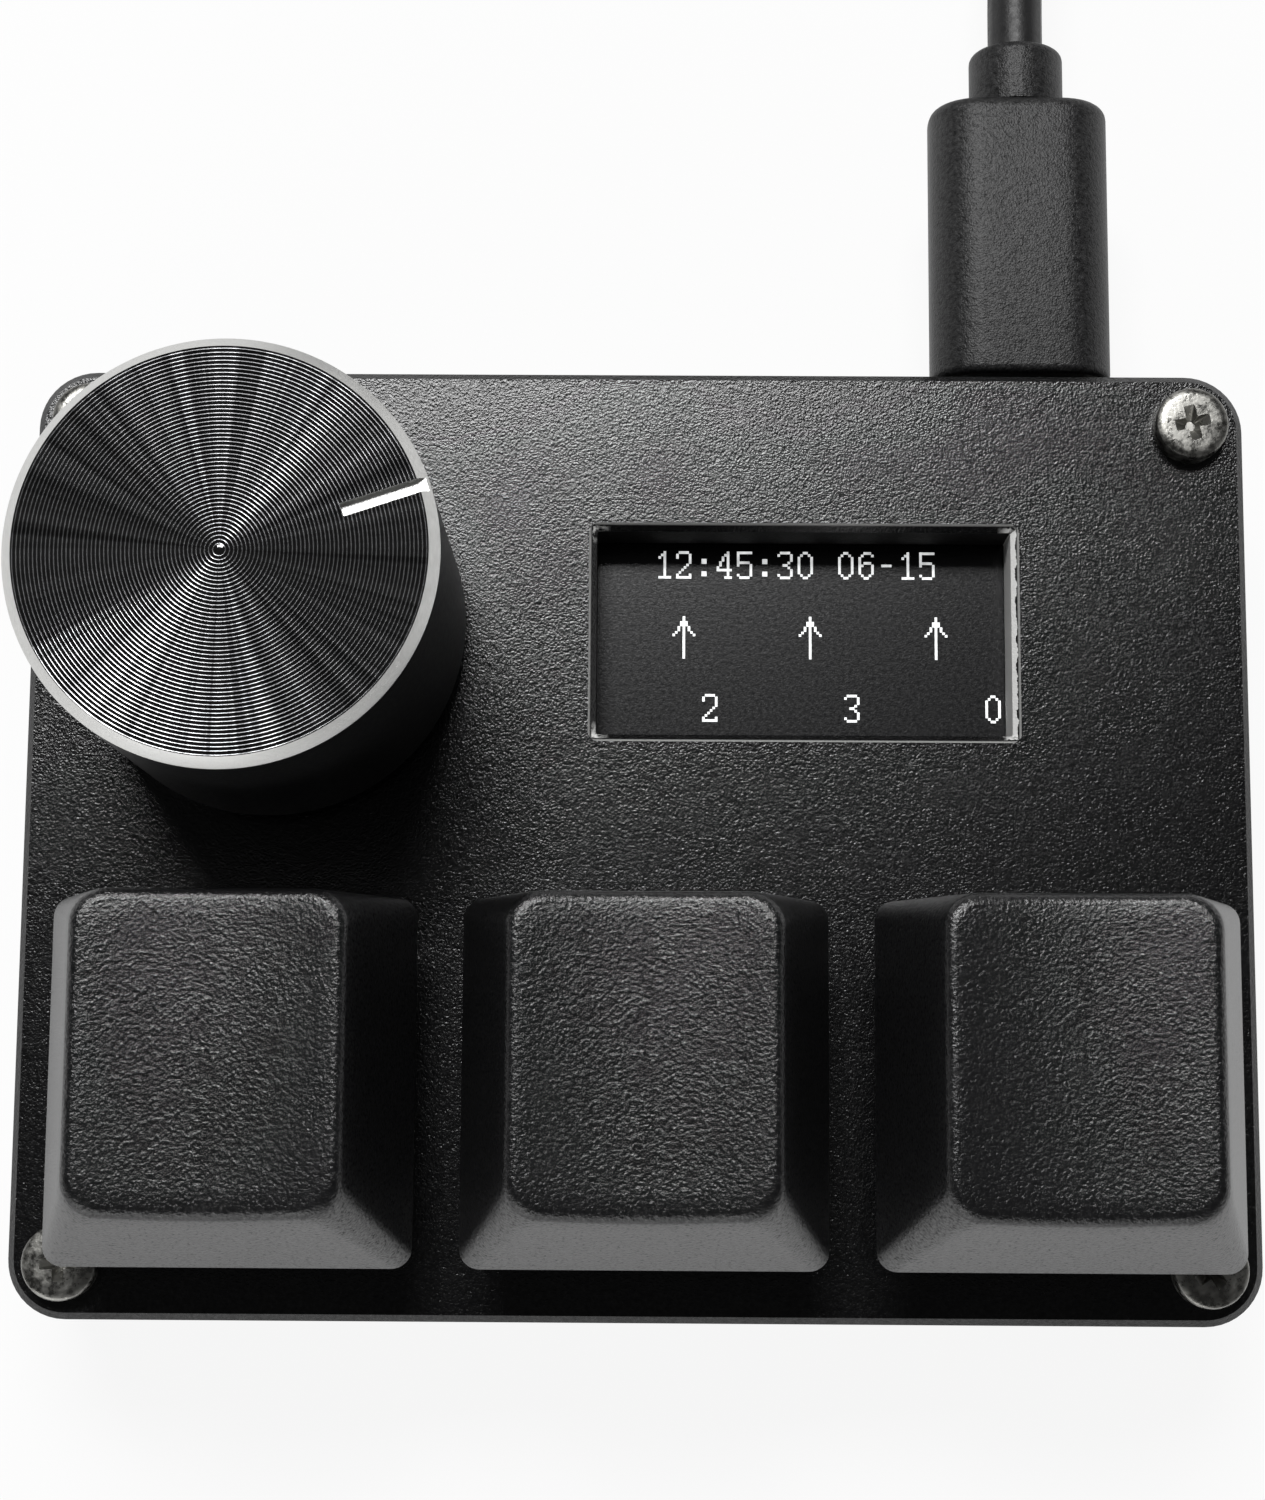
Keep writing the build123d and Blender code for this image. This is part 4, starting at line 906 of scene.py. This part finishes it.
class KEYPAD_OT_add_screen(Operator):
    """Finishes the screen's glass and adds its lit pixels: arrows, numbers and a row of time and date"""

    bl_idname = "keypad.add_screen"
    bl_label = "Add screen"

    arrow_head = "....#..../....#..../...###.../...###.../..#.#.#../..#.#.#../.#..#..#./#...#...#"
    glyphs = {
        "0": "..##../.#..#./#....#/#....#/#....#/#....#/#....#/#....#/#....#/.#..#./..##..",
        "1": "...#../..##../.#.#../...#../...#../...#../...#../...#../...#../...#../.#####",
        "2": ".####./#....#/#....#/.....#/.....#/....#./...#../..#.../.#..../#....#/######",
        "3": ".####./#....#/.....#/.....#/....#./..##../....#./.....#/.....#/#....#/.####.",
        "4": "....#./...##./..#.#./..#.#./.#..#./.#..#./#...#./######/....#./....#./...###",
        "5": "######/#...../#...../#...../#####./#....#/.....#/.....#/.....#/#....#/.####.",
        "6": "..###./.#...#/#...../#...../#.###./##...#/#....#/#....#/#....#/.#..#./..##..",
        ":": "....../....../....../..##../..##../....../....../....../..##../..##../......",
        "-": "....../....../....../....../....../.####./....../....../....../....../......",
        "^": arrow_head + "/....#...." * 9,
    }

    def execute(self, context):
        colours = context.scene.keypad_colours
        # Etched anti-glare glass over a dark panel: a soft dull gloss with a fine speckle.
        etched, dark = "screen_glass_etched", colours.screen
        glass = grained(etched, dark, 0.23, grain=0.2, depth=0.003, tone=0.2, ior=1.52, fine=0.1, gloss=0.12)
        finish_nodes(glass, "display_glass")
        self.add_pixels(context.scene.keypad_sizes.pixel_pitch, colours.pixel)
        # Foam tape: flat dark grey with open pores.
        finish_nodes(grained("foam_tape", linear("#2a2a2a"), 0.9, grain=0.25, depth=0.06), "display_pad")
        # White polycarbonate: clean and satin, to spread the backlight.
        clean = linear("#dcdcd8")
        white = grained("polycarbonate_moulded_white", clean, 0.5, grain=0.5, depth=0.005, tone=0.04)
        finish_nodes(white, "display_backlight")
        # Polyimide film: glossy amber.
        film = grained("polyimide_film", linear("#a8661e"), 0.28, grain=0.5, depth=0.004, tone=0.12)
        finish_nodes(film, "display_flex")
        return {"FINISHED"}

    def add_pixels(self, pitch, tint):
        """The lit pixels, drawn as small raised squares."""
        # Text, its left and upper edge in millimetres, and the pixels from one letter to the next.
        rows = (
            ("12:45:30 06-15", 0.9, 15.8, 8),
            ("^", 1.8, 12.26, 0),
            ("^", 8.54, 12.26, 0),
            ("^", 15.25, 12.26, 0),
            ("2", 3.4, 8.05, 0),
            ("3", 10.95, 8.05, 0),
            ("0", 18.45, 8.05, 0),
        )
        sunk, thick = 0.02 * mm, 0.04 * mm
        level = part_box("display_glass")[1].z - sunk
        mesh = bmesh.new()
        for text, left, top, step in rows:
            for place, letter in enumerate(text):
                if letter in self.glyphs:
                    x = left * mm + place * step * pitch
                    self.add_glyph(mesh, self.glyphs[letter], x, top * mm, level, pitch)
        bmesh.ops.remove_doubles(mesh, verts=mesh.verts, dist=pitch / 10)
        raised = bmesh.ops.extrude_face_region(mesh, geom=mesh.faces[:])["geom"]
        corners = [item for item in raised if isinstance(item, bmesh.types.BMVert)]
        bmesh.ops.translate(mesh, verts=corners, vec=(0, 0, thick))
        make_piece("screen_pixels", mesh, [lit_cells(tint)], "root")

    def add_glyph(self, mesh, pattern, left, top, level, pitch):
        """Adds one small square for each lit pixel of a pattern."""
        for row, line in enumerate(pattern.split("/")):
            for column, mark in enumerate(line):
                if mark == "#":
                    x, y = left + column * pitch, top - row * pitch
                    corners = ((x, y - pitch), (x + pitch, y - pitch), (x + pitch, y), (x, y))
                    mesh.faces.new([mesh.verts.new((*corner, level)) for corner in corners])


class KEYPAD_OT_finish_inside(Operator):
    """Finishes the board, its chips and the brass inserts inside the case"""

    bl_idname = "keypad.finish_inside"
    bl_label = "Finish inside"

    def execute(self, context):
        finish_nodes(board_laminate(), "main_board")
        # Moulded epoxy: flat black with a fine even grain.
        epoxy = grained("epoxy_moulded", linear("#1c1c1d"), 0.6, grain=0.2, depth=0.01)
        finish_nodes(epoxy, "board_chips", "hall_sensors")
        # Knurled brass: warm, with a broken shine.
        finish_nodes(cut_metal("brass_knurled", "#b8944a", 0.32, 0.1), "screw_inserts")
        # Zinc plate: cool blue-grey with a soft shine.
        finish_nodes(cut_metal("steel_zinc_plated", "#aeb0b2", 0.3, 0.1), "board_screws")
        return {"FINISHED"}


class KEYPAD_PT_sidebar(Panel):
    """The keypad's sizes, colours and steps"""

    bl_label = "Keypad"
    bl_idname = "KEYPAD_PT_sidebar"
    bl_space_type = "VIEW_3D"
    bl_region_type = "UI"
    bl_category = "Keypad"

    def draw(self, context):
        for group in (context.scene.keypad_sizes, context.scene.keypad_colours):
            column = self.layout.column(align=True)
            for name in group.__annotations__:
                column.prop(group, name)
        for step in steps:
            self.layout.operator(step.bl_idname)


steps = (
    KEYPAD_OT_add_stage,
    KEYPAD_OT_add_lead,
    KEYPAD_OT_finish_case,
    KEYPAD_OT_add_keys,
    KEYPAD_OT_add_knob,
    KEYPAD_OT_add_screen,
    KEYPAD_OT_finish_inside,
)
classes = (KeypadColours, KeypadSizes, *steps, KEYPAD_PT_sidebar)


def register():
    for each in classes:
        bpy.utils.register_class(each)
    bpy.types.Scene.keypad_colours = PointerProperty(type=KeypadColours)
    bpy.types.Scene.keypad_sizes = PointerProperty(type=KeypadSizes)


def unregister():
    del bpy.types.Scene.keypad_sizes
    del bpy.types.Scene.keypad_colours
    for each in reversed(classes):
        bpy.utils.unregister_class(each)


def main():
    register()
    bpy.ops.keypad.add_stage()
    bpy.ops.keypad.add_lead()
    bpy.ops.keypad.finish_case()
    bpy.ops.keypad.add_keys()
    bpy.ops.keypad.add_knob()
    bpy.ops.keypad.add_screen()
    bpy.ops.keypad.finish_inside()


if __name__ == "__main__":
    main()
